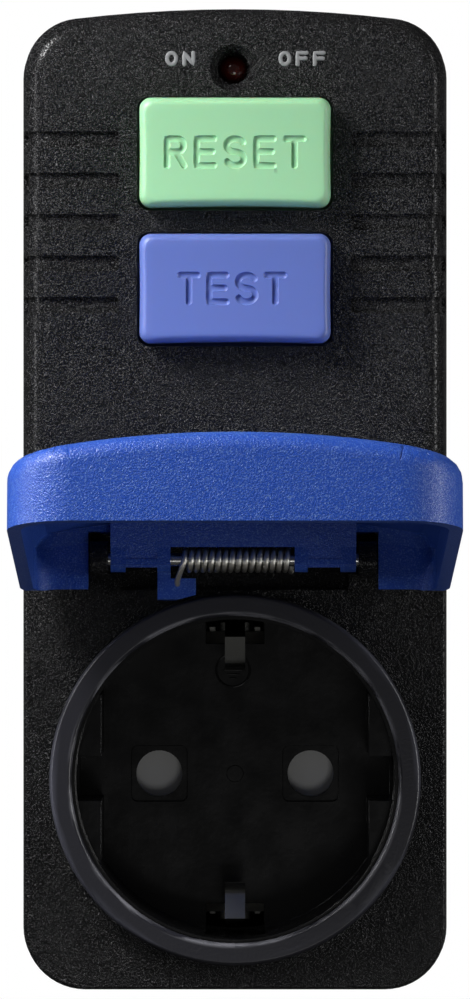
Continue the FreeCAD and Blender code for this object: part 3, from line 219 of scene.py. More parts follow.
def tube(bm, points, radius, sides=PEN_SIDES, steps=3, square=1.0):
    """A closed tube with ball ends along the points."""
    first = (points[1] - points[0]).normalized()
    last = (points[-1] - points[-2]).normalized()
    rows = []
    for number in range(1, steps + 1):
        turn = math.pi / 2 * number / (steps + 1)
        back = points[0] - first * radius * math.cos(turn)
        rows.append(ring_around(back, first, radius * math.sin(turn), sides, square))
    for number, point in enumerate(points):
        before = points[max(number - 1, 0)]
        after = points[min(number + 1, len(points) - 1)]
        rows.append(ring_around(point, after - before, radius, sides, square))
    for number in range(steps, 0, -1):
        turn = math.pi / 2 * number / (steps + 1)
        ahead = points[-1] + last * radius * math.cos(turn)
        rows.append(ring_around(ahead, last, radius * math.sin(turn), sides, square))
    rows = [[bm.verts.new(corner) for corner in row] for row in rows]
    for row, following in zip(rows, rows[1:]):
        for number in range(sides):
            beside = (number + 1) % sides
            bm.faces.new((row[number], row[beside], following[beside], following[number]))
    for row, tip in ((rows[0], points[0] - first * radius), (rows[-1], points[-1] + last * radius)):
        point = bm.verts.new(tip)
        for number in range(sides):
            bm.faces.new((row[number], row[(number + 1) % sides], point))


def finely(points, step):
    """The same path with points no further apart than step."""
    path = [points[0]]
    for before, after in zip(points, points[1:]):
        count = max(1, math.ceil((after - before).length / step))
        path += [before.lerp(after, number / count) for number in range(1, count + 1)]
    return path


def word_mesh(name, word, centre, height, width, pitch, pen, depth, surface=None, square=1.0):
    """A word as strokes that reach depth to each side of a surface, y as a function of z."""
    bm = bmesh.new()
    start = centre.x - pitch * (len(word) - 1) / 2
    for place, letter in enumerate(word):
        left = start + pitch * place - (width - pen) / 2
        low = centre.z - (height - pen) / 2
        for stroke in LETTERS[letter]:
            points = [Vector((left + u * (width - pen), 0, low + v * (height - pen))) for u, v in stroke]
            tube(bm, finely(points, 0.4 * MM), pen / 2, square=square)
    for vertex in bm.verts:
        base = surface(vertex.co.z) if surface else centre.y
        vertex.co.y = base + vertex.co.y * depth / (pen / 2)
    bmesh.ops.recalc_face_normals(bm, faces=bm.faces)
    for face in bm.faces:
        face.smooth = True
    return mesh_from(bm, name)


def engrave(obj, cutter_mesh):
    """Cuts a mesh of strokes out of obj, and marks the new rims as sharp."""
    cutter = link("cutter", cutter_mesh)
    modifier = obj.modifiers.new("engraved", "BOOLEAN")
    modifier.operation = "DIFFERENCE"
    modifier.solver = "EXACT"
    modifier.use_self = True
    modifier.object = cutter
    bpy.context.view_layer.update()
    depsgraph = bpy.context.evaluated_depsgraph_get()
    cut = bpy.data.meshes.new_from_object(obj.evaluated_get(depsgraph))
    obj.modifiers.remove(modifier)
    bpy.data.objects.remove(cutter)
    bm = bmesh.new()
    bm.from_mesh(cut)
    bmesh.ops.remove_doubles(bm, verts=bm.verts, dist=0.0005 * MM)
    smooth_by_angle(bm, SMOOTH_DEG)
    bm.to_mesh(obj.data)
    bm.free()
    bpy.data.meshes.remove(cut)


# %% [markdown]
# ## Material helpers
# Every texture reads object coordinates, which are the CAD frame in metres, because each object sits
# at the origin with its place in its mesh.

# %%
def rgb(red, green, blue):
    """An sRGB colour, 0 to 255, as linear values for a socket."""
    values = []
    for part in (red, green, blue):
        share = part / 255
        values.append(share / 12.92 if share <= 0.04045 else ((share + 0.055) / 1.055) ** 2.4)
    return (*values, 1.0)


class Paint:
    """A Principled material with a few ways to roughen it, and to paint wear, glints, highlights and shade into
    its colour.
    """

    def __init__(self, name, colour, roughness=0.4, metallic=0.0, **sockets):
        self.material = bpy.data.materials.new(name)
        self.material.use_nodes = True
        self.nodes = self.material.node_tree.nodes
        self.links = self.material.node_tree.links
        self.shader = self.nodes["Principled BSDF"]
        self.shader.inputs["Base Color"].default_value = colour
        self.shader.inputs["Roughness"].default_value = roughness
        self.shader.inputs["Metallic"].default_value = metallic
        for socket, value in sockets.items():
            self.shader.inputs[socket.replace("_", " ")].default_value = value
        self.coordinates = self.nodes.new("ShaderNodeTexCoord")
        self.last_normal = None

    def noise(self, scale, detail=2.0, stretch=(1, 1, 1)):
        mapping = self.nodes.new("ShaderNodeMapping")
        mapping.inputs["Scale"].default_value = stretch
        texture = self.nodes.new("ShaderNodeTexNoise")
        texture.inputs["Scale"].default_value = scale
        texture.inputs["Detail"].default_value = detail
        self.links.new(self.coordinates.outputs["Object"], mapping.inputs["Vector"])
        self.links.new(mapping.outputs["Vector"], texture.inputs["Vector"])
        return texture.outputs["Fac"]

    def ring_noise(self, scale, detail=2.0, along=0.15):
        """Noise drawn out along circles around the socket's axis."""
        parts = self.nodes.new("ShaderNodeSeparateXYZ")
        turn = self.nodes.new("ShaderNodeMath")
        turn.operation = "ARCTAN2"
        self.links.new(self.coordinates.outputs["Object"], parts.inputs["Vector"])
        self.links.new(parts.outputs["X"], turn.inputs[0])
        self.links.new(parts.outputs["Z"], turn.inputs[1])
        place = self.nodes.new("ShaderNodeCombineXYZ")
        self.links.new(self.times(turn.outputs["Value"], 20 * MM * along), place.inputs["X"])
        self.links.new(self.axis_radius(), place.inputs["Y"])
        texture = self.nodes.new("ShaderNodeTexNoise")
        texture.inputs["Scale"].default_value = scale
        texture.inputs["Detail"].default_value = detail
        self.links.new(place.outputs["Vector"], texture.inputs["Vector"])
        return texture.outputs["Fac"]

    def away_from_middle(self):
        """How far a point lies to either side of the middle plane, in metres."""
        parts = self.nodes.new("ShaderNodeSeparateXYZ")
        size = self.nodes.new("ShaderNodeMath")
        size.operation = "ABSOLUTE"
        self.links.new(self.coordinates.outputs["Object"], parts.inputs["Vector"])
        self.links.new(parts.outputs["X"], size.inputs[0])
        return size.outputs["Value"]

    def band(self, source, low, high):
        """0 below low, 1 above high."""
        ramp = self.nodes.new("ShaderNodeMapRange")
        ramp.inputs["From Min"].default_value = low
        ramp.inputs["From Max"].default_value = high
        self.links.new(source, ramp.inputs["Value"])
        return ramp.outputs["Result"]

    def times(self, first, second):
        node = self.nodes.new("ShaderNodeMath")
        node.operation = "MULTIPLY"
        self.links.new(first, node.inputs[0])
        if isinstance(second, (int, float)):
            node.inputs[1].default_value = second
        else:
            self.links.new(second, node.inputs[1])
        return node.outputs["Value"]

    def grain(self, scale, strength, distance, detail=2.0, stretch=(1, 1, 1), between=(0, 1)):
        """Adds a layer of fine relief, flat outside the given band of the noise."""
        bump = self.nodes.new("ShaderNodeBump")
        bump.inputs["Strength"].default_value = strength
        bump.inputs["Distance"].default_value = distance
        self.links.new(self.band(self.noise(scale, detail, stretch), *between), bump.inputs["Height"])
        if self.last_normal:
            self.links.new(self.last_normal, bump.inputs["Normal"])
        self.last_normal = bump.outputs["Normal"]
        self.links.new(self.last_normal, self.shader.inputs["Normal"])
        return self

    def vary(self, socket, source, low, high):
        """Lets a 0 to 1 source drive a number of the shader between two values."""
        ramp = self.nodes.new("ShaderNodeMapRange")
        ramp.inputs["To Min"].default_value = low
        ramp.inputs["To Max"].default_value = high
        self.links.new(source, ramp.inputs["Value"])
        self.links.new(ramp.outputs["Result"], self.shader.inputs[socket])
        return self

    def tint(self, source, colour):
        """Mixes a second colour in where the source is 1."""
        mix = self.nodes.new("ShaderNodeMix")
        mix.data_type = "RGBA"
        base = self.shader.inputs["Base Color"]
        if base.is_linked:
            self.links.new(base.links[0].from_socket, mix.inputs["A"])
        else:
            mix.inputs["A"].default_value = base.default_value
        mix.inputs["B"].default_value = colour
        self.links.new(source, mix.inputs["Factor"])
        self.links.new(mix.outputs["Result"], base)
        return self

    def axis_radius(self):
        """Distance from the socket's axis, in metres."""
        flatten = self.nodes.new("ShaderNodeVectorMath")
        flatten.operation = "MULTIPLY"
        flatten.inputs[1].default_value = (1, 0, 1)
        length = self.nodes.new("ShaderNodeVectorMath")
        length.operation = "LENGTH"
        self.links.new(self.coordinates.outputs["Object"], flatten.inputs[0])
        self.links.new(flatten.outputs["Vector"], length.inputs[0])
        return length.outputs["Value"]


# %% [markdown]
# ## Housing and cap materials
# The housing is black plastic with a spark-eroded grain: low relief that glints a little, and paler
# specks painted into its colour as glints. The lid has the same grain, weaker, and lighter blue specks
# painted in as glints. The lid and the TEST cap are blue, the RESET cap is mint.

# %%
HOUSING = Paint("housing_black", rgb(9, 9, 10), 0.22, Specular_IOR_Level=0.30)
HOUSING.grain(4800, 1.0, 0.00009, 1.0, between=(0.42, 0.64))
# Paler specks are painted into the housing's colour as glints.
painted_glint_specks = HOUSING.band(HOUSING.noise(6400, 1.0), 0.60, 0.72)
HOUSING.tint(painted_glint_specks, rgb(74, 74, 76))

LID_BLUE = Paint("lid_blue", rgb(36, 80, 184), 0.34)
LID_BLUE.grain(4800, 1.0, 0.00003, 1.0, between=(0.40, 0.64))
# Lighter blue specks are painted into the lid's colour as glints.
LID_BLUE.tint(LID_BLUE.band(LID_BLUE.noise(5600, 2.0), 0.50, 0.80), rgb(116, 150, 216))

MINT = Paint("reset_mint", rgb(156, 210, 163), 0.40, Subsurface_Weight=0.15, Subsurface_Scale=0.002)
MINT.grain(2600, 0.05, 0.0001)

SLATE_BLUE = Paint("test_blue", rgb(101, 120, 191), 0.38, Subsurface_Weight=0.10, Subsurface_Scale=0.002)
SLATE_BLUE.grain(2600, 0.05, 0.0001)

PRINT_GREY = Paint("print_grey", rgb(128, 129, 130), 0.5)

# %% [markdown]
# ## Socket materials
# The cup is glossy black with fine scratches. The seal around its mouth is a dark blue-grey rubbery
# ring whose inner rim is rubbed bright by plugs.

# %%
CUP = Paint("socket_black", rgb(8, 8, 9), 0.20)
CUP.grain(1400, 0.10, 0.0001, 2.0)
CUP.grain(900, 0.15, 0.00006, 3.0, (1, 1, 0.05))
CUP.vary("Roughness", CUP.noise(300, 4.0), 0.12, 0.36)

SEAL = Paint("seal_dark", rgb(38, 38, 44), 0.32)
SEAL.grain(2200, 0.25, 0.0001, 3.0)
rubbed = SEAL.times(
    SEAL.band(SEAL.axis_radius(), 20.75 * MM, 20.35 * MM),
    SEAL.band(SEAL.ring_noise(900, 4.0), 0.44, 0.60),
)
SEAL.tint(rubbed, rgb(120, 120, 126))
# Paler bluish blotches on the seal's outer band: partly scuffs, partly a painted highlight with a painted bluish
# reflection.
scuffs_and_painted_highlight = SEAL.times(
    SEAL.band(SEAL.axis_radius(), 21.6 * MM, 22.5 * MM),
    SEAL.band(SEAL.ring_noise(500, 6.0), 0.50, 0.72),
)
SEAL.tint(scuffs_and_painted_highlight, rgb(84, 85, 96))

SHUTTER_GREY = Paint("shutter_grey", rgb(232, 232, 230), 0.42)
SHUTTER_GREY.grain(2400, 0.08, 0.0001)

# %% [markdown]
# ## Metals, glass and the parts out of sight

# %%
SPRING_STEEL = Paint("spring_steel", rgb(226, 223, 214), 0.36, 1.0)
SPRING_STEEL.grain(1800, 0.05, 0.0001)
PIN_STEEL = Paint("pin_steel", rgb(206, 206, 204), 0.22, 1.0)
NICKEL = Paint("nickel", rgb(214, 213, 206), 0.20, 1.0)
NICKEL.grain(900, 0.10, 0.0001, 3.0, (1, 1, 0.1))
EARTH_CLIP = Paint("earth_clip", rgb(170, 170, 165), 0.25, 1.0)
# Painted shade: the clip's wings, beyond about 1.2 mm to either side of the middle, are darkened because they lie
# in the window's shade.
EARTH_CLIP.tint(EARTH_CLIP.band(EARTH_CLIP.away_from_middle(), 1.2 * MM, 1.9 * MM), rgb(16, 16, 16))
BRASS = Paint("brass", rgb(206, 170, 96), 0.28, 1.0)
SCREW_STEEL = Paint("screw_steel", rgb(150, 150, 150), 0.34, 1.0)
YOKE_STEEL = Paint("yoke_steel", rgb(168, 168, 166), 0.36, 1.0)
COPPER = Paint("copper", rgb(196, 112, 70), 0.30, 1.0)
FERRITE = Paint("ferrite", rgb(44, 44, 48), 0.60)
CARRIER_WHITE = Paint("carrier_white", rgb(214, 212, 204), 0.45)
FRAME_GREY = Paint("frame_grey", rgb(88, 90, 94), 0.50)
BOARD_GREEN = Paint("board_green", rgb(26, 92, 52), 0.35)
RESISTOR_TAN = Paint("resistor_tan", rgb(190, 150, 100), 0.50)
ABSORBER_BLUE = Paint("absorber_blue", rgb(30, 66, 150), 0.40)
LEAD_BROWN = Paint("lead_brown", rgb(84, 46, 26), 0.45)
LEAD_BLUE = Paint("lead_blue", rgb(36, 78, 160), 0.45)
LAMP_GLASS = Paint("lamp_glass", rgb(150, 20, 14), 0.10, Transmission_Weight=0.6, IOR=1.5)
LENS_RED = Paint("lens_red", rgb(96, 26, 18), 0.06, Transmission_Weight=0.35, IOR=1.5, Coat_Weight=1.0)
LENS_RED.vary("Coat Weight", LENS_RED.noise(1200, 2.0), 0.7, 1.0)

# %% [markdown]
# ## Housing and seal

# %%
skin("front_cover", HOUSING.material, edge=0.12 * MM)
skin("rear_cover", HOUSING.material, edge=0.12 * MM)
skin("collar_seal", SEAL.material, 50)

# %% [markdown]
# ## Engraved buttons
# Each cap is drawn again over the CAD flange and stem, with a softer edge, a dished front and sides
# that sank a little as the plastic cooled. Its word is then sunk into the front with a flat pen.

# %%
FLANGE = 1.0 * MM
CAP_DEPTH = 5.75 * MM
CAP_CORNER = 1.5 * MM
EDGE_IN = 0.95 * MM
EDGE_BACK = 1.5 * MM
EDGE_STEPS = 8
DISH = 0.35 * MM
SIDE_SINK = 0.10 * MM
LOW_SINK = 0.24 * MM
RINGS = 8
CAP_HEIGHT = 4.1 * MM
LETTER_WIDTH = 2.95 * MM
PEN = 0.84 * MM
WORD_DEPTH = 0.30 * MM


def rounded_ring(half_x, half_z, corner, steps=8):
    """Points around a rectangle with round corners."""
    ring = []
    for turn, side_x, side_z in ((0, 1, 1), (90, -1, 1), (180, -1, -1), (270, 1, -1)):
        middle = (side_x * (half_x - corner), side_z * (half_z - corner))
        ring += bow(middle, (corner, corner), turn, turn + 90, steps)
    return ring


def straight_filled(ring, step):
    """The same closed ring with its straight stretches divided, so that they can bend."""
    filled = []
    for (x, z), (next_x, next_z) in zip(ring, ring[1:] + ring[:1]):
        count = max(1, math.ceil(math.hypot(next_x - x, next_z - z) / step))
        for number in range(count):
            share = number / count
            filled.append((x + (next_x - x) * share, z + (next_z - z) * share))
    return filled


def cap_surface(front, middle_z, half_z):
    """The dished front as y for a height z."""

    def surface(z):
        share = min(1, abs(z - middle_z) / half_z)
        return front + DISH * (1 - share * share)

    return surface


def cap_mesh(name, half_x, half_z, middle_z, back, front):
    surface = cap_surface(front, middle_z, half_z)
    outline = straight_filled(rounded_ring(half_x, half_z, CAP_CORNER), 0.8 * MM)
    levels = [(0, back), (0, front + EDGE_BACK)]
    for number in range(1, EDGE_STEPS + 1):
        turn = math.pi / 2 * number / EDGE_STEPS
        levels.append((EDGE_IN * (1 - math.cos(turn)), front + EDGE_BACK * (1 - math.sin(turn))))
    for number in range(1, RINGS):
        levels.append((EDGE_IN + (half_z - EDGE_IN) * number / RINGS, front))
    bm = bmesh.new()
    rows = []
    for inset, y in levels:
        row = []
        for x, z in outline:
            low = max(0, -z / half_z)
            near = x * (half_x - inset) / half_x
            far = z * (half_z - inset) / half_z
            near -= math.copysign(SIDE_SINK, x) * (abs(x) / half_x) ** 4 * (1 - (z / half_z) ** 2)
            far += LOW_SINK * low**4 * (1 - (x / half_x) ** 2)
            place_y = y
            if y < front + EDGE_BACK:
                place_y = y + surface(middle_z + far) - front
            row.append(bm.verts.new((near, place_y, middle_z + far)))
        rows.append(row)
    count = len(outline)
    for row, following in zip(rows, rows[1:]):
        for number in range(count):
            beside = (number + 1) % count
            bm.faces.new((row[number], row[beside], following[beside], following[number]))
    bm.faces.new(rows[0])
    bm.faces.new(rows[-1])
    bmesh.ops.recalc_face_normals(bm, faces=bm.faces)
    bmesh.ops.triangulate(bm, faces=bm.faces)
    smooth_by_angle(bm, SMOOTH_DEG)
    return mesh_from(bm, name)


def engraved_button(node, paint, word, pitch, place_x):
    low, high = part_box(node)
    half_x = (high.x - low.x) / 2 - FLANGE
    half_z = (high.z - low.z) / 2 - FLANGE
    middle_z = (high.z + low.z) / 2
    flange_front = low.y + CAP_DEPTH
    cap = link(node + "_cap", cap_mesh(node, half_x, half_z, middle_z, flange_front + 0.2 * MM, low.y))
    centre = Vector((place_x, low.y, middle_z))
    surface = cap_surface(low.y, middle_z, half_z)
    pen_marks = word_mesh(
        word, word, centre, CAP_HEIGHT, LETTER_WIDTH, pitch, PEN, WORD_DEPTH, surface, 0.55
    )
    engrave(cap, pen_marks)
    inner = merged(node)
    outside = [vertex for vertex in inner.verts if vertex.co.y < flange_front - 0.01 * MM]
    bmesh.ops.delete(inner, geom=outside, context="VERTS")
    smooth_by_angle(inner, SMOOTH_DEG)
    inner.from_mesh(cap.data)
    inner.to_mesh(cap.data)
    inner.free()
    weigh(cap)
    return stand_for(cap, node, paint.material)


engraved_button("reset_button", MINT, "RESET", 3.62 * MM, 0.0)
engraved_button("test_button", SLATE_BLUE, "TEST", 3.50 * MM, -0.36 * MM)

# %% [markdown]
# ## Indicator and its legends
# The lens is a small dark red dome at the bottom of a countersink. The legends beside it are raised
# and printed light grey, and read ON and OFF.

# %%
skin("indicator_lens", LENS_RED.material, 50)
skin("indicator_lamp", LAMP_GLASS.material, 50)
BLOCK_Y = -42.0 * MM
LEGEND_HEIGHT = 1.9 * MM
LEGEND_WIDTH = 1.6 * MM
LEGEND_PITCH = 2.1 * MM
LEGEND_PROUD = 0.10 * MM
LEGEND_PEN = 0.50 * MM
for word, x in (("ON", -6.7), ("OFF", 8.2)):
    centre = Vector((x * MM, BLOCK_Y, 88.3 * MM))
    mesh = word_mesh(
        "legend", word, centre, LEGEND_HEIGHT, LEGEND_WIDTH, LEGEND_PITCH, LEGEND_PEN, LEGEND_PROUD
    )
    add_piece("legend_" + word.lower(), mesh, "front_cover", PRINT_GREY.material)

# %% [markdown]
# ## Socket
# Under the upper clip window the floor carries the usual earth sign, a stem on three bars in a ring,
# and in its middle a low gate mark.

# %%
skin("socket_insert", CUP.material, edge=0.10 * MM)
skin("shutter", SHUTTER_GREY.material)
skin("socket_earth_bracket", EARTH_CLIP.material, 50)
FLOOR_Y = -22.0 * MM
SIGN_X = -0.25 * MM
SIGN_Z = 13.0 * MM
SIGN_R = 2.1 * MM
SIGN_PEN = 0.26 * MM


def in_plane(points, y):
    return [Vector((x, y, z)) for x, z in points]


sign = bmesh.new()
tube(sign, in_plane(bow((SIGN_X, SIGN_Z), (SIGN_R, SIGN_R), 0, 360, 40), FLOOR_Y), SIGN_PEN / 2)
tube(sign, in_plane([(SIGN_X, SIGN_Z + 1.3 * MM), (SIGN_X, SIGN_Z)], FLOOR_Y), SIGN_PEN / 2)
for number, half in enumerate((1.1, 0.7, 0.3)):
    z = SIGN_Z - 0.5 * number * MM
    tube(sign, in_plane([(SIGN_X - half * MM, z), (SIGN_X + half * MM, z)], FLOOR_Y), SIGN_PEN / 2)
bmesh.ops.recalc_face_normals(sign, faces=sign.faces)
add_piece("earth_sign", mesh_from(sign, "earth_sign"), "socket_insert", CUP.material)

gate = bmesh.new()
to_front = Matrix.Translation((0, FLOOR_Y, 0)) @ Matrix.Rotation(math.pi / 2, 4, "X")
bmesh.ops.create_cone(
    gate, cap_ends=True, segments=32, radius1=1.15 * MM, radius2=1.0 * MM, depth=0.3 * MM, matrix=to_front
)
add_piece("gate_mark", mesh_from(gate, "gate_mark"), "socket_insert", CUP.material)

# %% [markdown]
# ## Lid, pin and spring
# The CAD lid has a flat chamfer around its crown. Here the chamfer is divided into bands and each
# band is pushed out to an arc, like the moulded round of the real lid. At the hinge edge, beside the
# lugs and at the corners, the result is uneven, which shows when the lid is shut. A rib between the
# lugs lies above the pin and before it.
#
# The spring is drawn again as round wire: a leg on the lid's tab, fifteen and a half close turns
# around the pin, and a leg into the pocket. It stays with the housing.

# %%
OPEN = math.radians(99.5)
CROWN = Vector((0, -math.cos(OPEN), math.sin(OPEN)))
ROUND_CUTS = 4
NEAR_PIN = 3.6 * MM
SLOPE_LEAN = 0.5
CROWN_LEAN = 0.9
WALL_LEAN = 0.4
ON_BORDER = 0.01 * MM
HINGE_AXIS = Vector((0, HINGE_Y, HINGE_Z))


def slope_faces(bm):
    """The chamfer's faces, whose normals lie between the crown's and the walls'."""
    found = []
    for face in bm.faces:
        across = face.calc_center_median() - HINGE_AXIS
        sloping = SLOPE_LEAN < face.normal.dot(CROWN) < CROWN_LEAN
        if sloping and math.hypot(across.y, across.z) > NEAR_PIN:
            found.append(face)
    return set(found)


def slope_borders(slopes):
    """Edges where the chamfer meets a wall, and edges where it meets the crown."""
    low, high = [], []
    for face in slopes:
        for edge in face.edges:
            for other in edge.link_faces:
                lean = other.normal.dot(CROWN)
                if other in slopes:
                    continue
                if lean > CROWN_LEAN:
                    high.append(edge)
                elif abs(lean) < WALL_LEAN and other.normal.dot(face.normal) > WALL_LEAN:
                    low.append(edge)
    return low, high


def nearest_line(point, lines):
    """Distance to the nearest line, and the normal kept with that line."""
    found = (1.0, CROWN)
    for start, end, normal in lines:
        share = intersect_point_line(point, start, end)[1]
        foot = start.lerp(end, min(1, max(0, share)))
        if (point - foot).length < found[0]:
            found = ((point - foot).length, normal)
    return found


def lines_of(edges, slopes):
    """The ends of each edge and the normal of the face beyond the chamfer."""
    found = []
    for edge in edges:
        beyond = [face for face in edge.link_faces if face not in slopes][0]
        start, end = edge.verts
        found.append((start.co.copy(), end.co.copy(), beyond.normal.copy()))
    return found


def round_shoulder(bm):
    """Turns the chamfer between the crown and the walls into an arc."""
    bm.normal_update()
    slopes = slope_faces(bm)
    low, high = slope_borders(slopes)
    low_ends = {vertex for edge in low for vertex in edge.verts}
    high_ends = {vertex for edge in high for vertex in edge.verts}
    low_lines, high_lines = lines_of(low, slopes), lines_of(high, slopes)
    cross = set()
    for edge in {edge for face in slopes for edge in face.edges}:
        first, second = edge.verts
        if (first in low_ends and second in high_ends) or (first in high_ends and second in low_ends):
            cross.add(edge)
    bmesh.ops.subdivide_edges(bm, edges=list(cross), cuts=ROUND_CUTS, use_grid_fill=True)
    bm.normal_update()
    slopes = slope_faces(bm)
    moves = {}
    for vertex in {vertex for face in slopes for vertex in face.verts}:
        below, wall = nearest_line(vertex.co, low_lines)
        above = nearest_line(vertex.co, high_lines)[0]
        if min(below, above) < ON_BORDER:
            continue
        chord = below + above
        radius = chord / math.sqrt(2)
        place = below - chord / 2
        bulge = math.sqrt(max(0, radius**2 - place**2)) - radius / math.sqrt(2)
        moves[vertex] = (CROWN + wall).normalized() * bulge
    for vertex, move in moves.items():
        vertex.co += move


skin("lid", LID_BLUE.material, 50, edge=0.25 * MM, change=round_shoulder)
skin("hinge_pin", PIN_STEEL.material, 50)
# The rib and two small plates, as spans along x, y and z from the hinge axis in millimetres.
RIB_SPANS = [
    ((-15.2, 14.8), (-2.1, -1.1), (1.6, 6.0)),
    ((-13.4, -9.5), (-1.35, -1.05), (-0.9, 1.7)),
    ((8.9, 12.9), (-1.35, -1.05), (-0.9, 1.7)),
]
rib = bmesh.new()
for spans in RIB_SPANS:
    size = [(end - start) * MM for start, end in spans]
    middle = HINGE_AXIS + Vector([sum(span) / 2 * MM for span in spans])
    bmesh.ops.create_cube(rib, size=1, matrix=Matrix.Translation(middle) @ Matrix.Diagonal((*size, 1)))
add_piece("lid_rib", mesh_from(rib, "lid_rib"), "lid", LID_BLUE.material)
SPRING_FROM = -6.2 * MM
SPRING_TO = 6.75 * MM
SPRING_R = 1.25 * MM
SPRING_TURNS = 15.5
WIRE_R = 0.34 * MM
TURN_STEPS = 28


def spring_line():
    count = round(SPRING_TURNS * TURN_STEPS)
    points = []
    for number in range(count + 1):
        turn = 2 * math.pi * number / TURN_STEPS
        x = SPRING_FROM + (SPRING_TO - SPRING_FROM) * number / count
        points.append(Vector((x, -SPRING_R * math.cos(turn), SPRING_R * math.sin(turn))))
    lid_leg = [(-7.05, 0.2, -2.95), (-7.05, -0.1, -2.55), (-6.95, -0.35, -2.2), (-6.6, -0.95, -1.2)]
    lid_leg += [(-6.4, -1.15, -0.75), (-6.26, -1.25, -0.3)]
    pocket_leg = [(6.8, 1.25, -0.5), (6.85, 1.35, -1.0), (6.9, 1.8, -1.4), (6.9, 6.1, -1.5)]
    before = [Vector(point) * MM for point in lid_leg]
    after = [Vector(point) * MM for point in pocket_leg]
    return [HINGE_AXIS + point for point in before + points + after]


wire = bmesh.new()
tube(wire, spring_line(), WIRE_R, 10)
bmesh.ops.recalc_face_normals(wire, faces=wire.faces)
smooth_by_angle(wire, 60)
coil = link("lid_spring_wire", mesh_from(wire, "lid_spring_wire"))
stand_for(coil, "lid_spring", SPRING_STEEL.material)

# %% [markdown]
# ## Plug and screws
# The four cover screws sit deep in the rear face; a cross recess is cut in each head.

# %%
for node in ("line_pin", "neutral_pin", "plug_earth_bracket"):
    skin(node, NICKEL.material)
screws = skin("cover_screws", SCREW_STEEL.material, 40)
low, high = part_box("cover_screws")
HEAD_R = 2.7 * MM
cross = bmesh.new()
for x in (low.x + HEAD_R, high.x - HEAD_R):
    for z in (low.z + HEAD_R, high.z - HEAD_R):
        for size in ((2.9, 1.6, 0.6), (0.6, 1.6, 2.9)):
            place = Matrix.Translation((x, high.y, z)) @ Matrix.Diagonal((*[s * MM for s in size], 1))
            bmesh.ops.create_cube(cross, size=1, matrix=place)
engrave(screws, mesh_from(cross, "cross"))

# %% [markdown]
# ## Mechanism
# The pieces inside the closed housing keep their CAD form and only take their finish.

# %%
INSIDE = {
    "reset_spring": ("spring_steel", SPRING_STEEL),
    "test_spring": ("spring_steel", SPRING_STEEL),
    "shutter_spring": ("spring_steel", SPRING_STEEL),
    "plunger_spring": ("spring_steel", SPRING_STEEL),
    "contact_base": ("carrier_white", CARRIER_WHITE),
    "line_socket_clip": ("brass", BRASS),
    "neutral_socket_clip": ("brass", BRASS),
    "circuit_board": ("board_green", BOARD_GREEN),
    "mechanism_frame": ("frame_grey", FRAME_GREY),
    "transformer_core": ("ferrite", FERRITE),
    "transformer_winding": ("copper", COPPER),
    "trip_coil": ("copper", COPPER),
    "trip_yoke": ("yoke_steel", YOKE_STEEL),
    "trip_plunger": ("yoke_steel", YOKE_STEEL),
    "contact_carrier": ("carrier_white", CARRIER_WHITE),
    "moving_contacts": ("brass", BRASS),
    "fixed_contacts": ("brass", BRASS),
    "test_contact": ("brass", BRASS),
    "test_resistor": ("resistor_tan", RESISTOR_TAN),
    "surge_absorber": ("absorber_blue", ABSORBER_BLUE),
    "line_supply_lead": ("lead_brown", LEAD_BROWN),
    "line_load_lead": ("lead_brown", LEAD_BROWN),
    "neutral_supply_lead": ("lead_blue", LEAD_BLUE),
    "neutral_load_lead": ("lead_blue", LEAD_BLUE),
    "board_screws": ("screw_steel", SCREW_STEEL),
}
for node, (slot, paint) in INSIDE.items():
    obj = frame["nodes"][node]
    obj.data.materials.clear()
    obj.data.materials.append(paint.material)

# %% [markdown]
# ## Backdrop, lights and camera
# The backdrop is a bright white sheet that only the camera sees, as in a cut-out product picture. The
# key light is small and near, above and to the left, so grooves and caps throw short shadows down. A
# large fill stands far off on the same side, a strip on each side picks out the edges, a weak light
# comes from below, and a dim white world fills the rest.

# %%
def glow(name, colour, strength):
    material = bpy.data.materials.new(name)
    material.use_nodes = True
    nodes = material.node_tree.nodes
    nodes.clear()
    light = nodes.new("ShaderNodeEmission")
    light.inputs["Color"].default_value = colour
    light.inputs["Strength"].default_value = strength
    output = nodes.new("ShaderNodeOutputMaterial")
    material.node_tree.links.new(light.outputs["Emission"], output.inputs["Surface"])
    return material


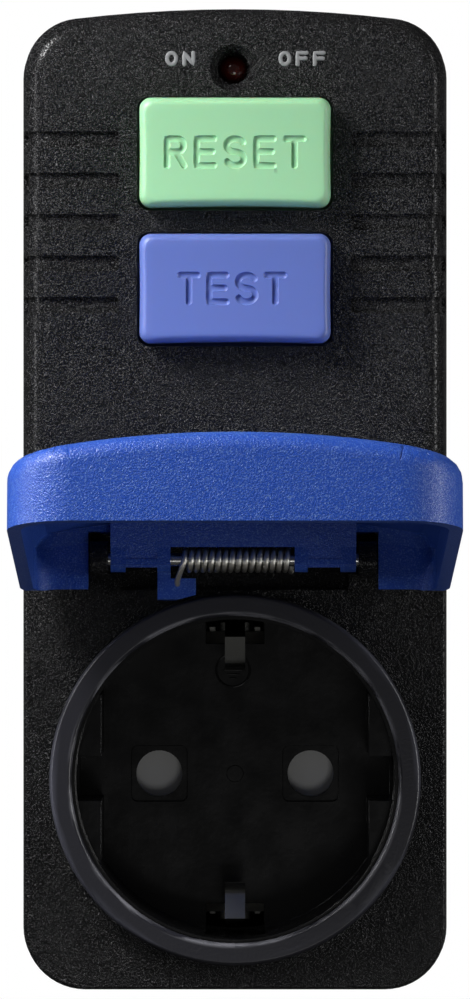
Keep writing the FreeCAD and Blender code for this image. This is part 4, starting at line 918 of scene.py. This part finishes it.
BACKDROP_Y = 0.5
BACKDROP_HALF = 1.2
sheet = bmesh.new()
corners = []
for x, z in ((-1, -1), (1, -1), (1, 1), (-1, 1)):
    corners.append(sheet.verts.new((x * BACKDROP_HALF, BACKDROP_Y, z * BACKDROP_HALF)))
sheet.faces.new(corners)
backdrop = link("backdrop", mesh_from(sheet, "backdrop"))
backdrop.data.materials.append(glow("backdrop_white", (1, 1, 1, 1), 1.0))
backdrop.visible_diffuse = False
backdrop.visible_glossy = False
backdrop.visible_transmission = False
backdrop.visible_shadow = False


def softbox(name, place, target, width, height, watts, colour=(1, 1, 1)):
    data = bpy.data.lights.new(name, "AREA")
    data.shape = "RECTANGLE"
    data.size = width
    data.size_y = height
    data.energy = watts
    data.color = colour
    lamp = bpy.data.objects.new(name, data)
    scene.collection.objects.link(lamp)
    lamp.location = place
    lamp.rotation_euler = (Vector(target) - Vector(place)).to_track_quat("-Z", "Y").to_euler()
    return lamp


MIDDLE = (0, -0.04, 0.034)
softbox("key", (-0.118, -0.125, 0.165), (-0.025, -0.04, 0.060), 0.05, 0.07, 0.42)
softbox("front_fill", (-0.45, -0.65, 0.60), MIDDLE, 0.40, 0.40, 1.0)
softbox("side_strip", (-0.16, -0.10, 0.06), (-0.026, -0.02, 0.04), 0.03, 0.12, 0.10)
softbox("strip", (0.40, -0.16, 0.06), MIDDLE, 0.06, 0.40, 0.9)
softbox("low_fill", (0.10, -0.70, -0.25), MIDDLE, 0.20, 0.20, 0.25)

world = bpy.data.worlds.new("studio")
scene.world = world
world.use_nodes = True
world.node_tree.nodes["Background"].inputs["Color"].default_value = (1, 1, 1, 1)
world.node_tree.nodes["Background"].inputs["Strength"].default_value = 0.05

CAMERA_PLACE = (0, -789.5 * MM, 34.4 * MM)
LENS_LENGTH = 220.36
SENSOR_WIDTH = 36
camera_data = bpy.data.cameras.new("camera")
camera_data.lens = LENS_LENGTH
camera_data.sensor_width = SENSOR_WIDTH
camera_data.sensor_fit = "AUTO"
camera_data.clip_start = 0.01
camera = bpy.data.objects.new("camera", camera_data)
camera.location = CAMERA_PLACE
camera.rotation_euler = (math.pi / 2, 0, 0)
scene.collection.objects.link(camera)
scene.camera = camera
scene.view_settings.view_transform = "Standard"

# %% [markdown]
# ## Finish
# The view layer is brought up to date.

# %%
bpy.context.view_layer.update()
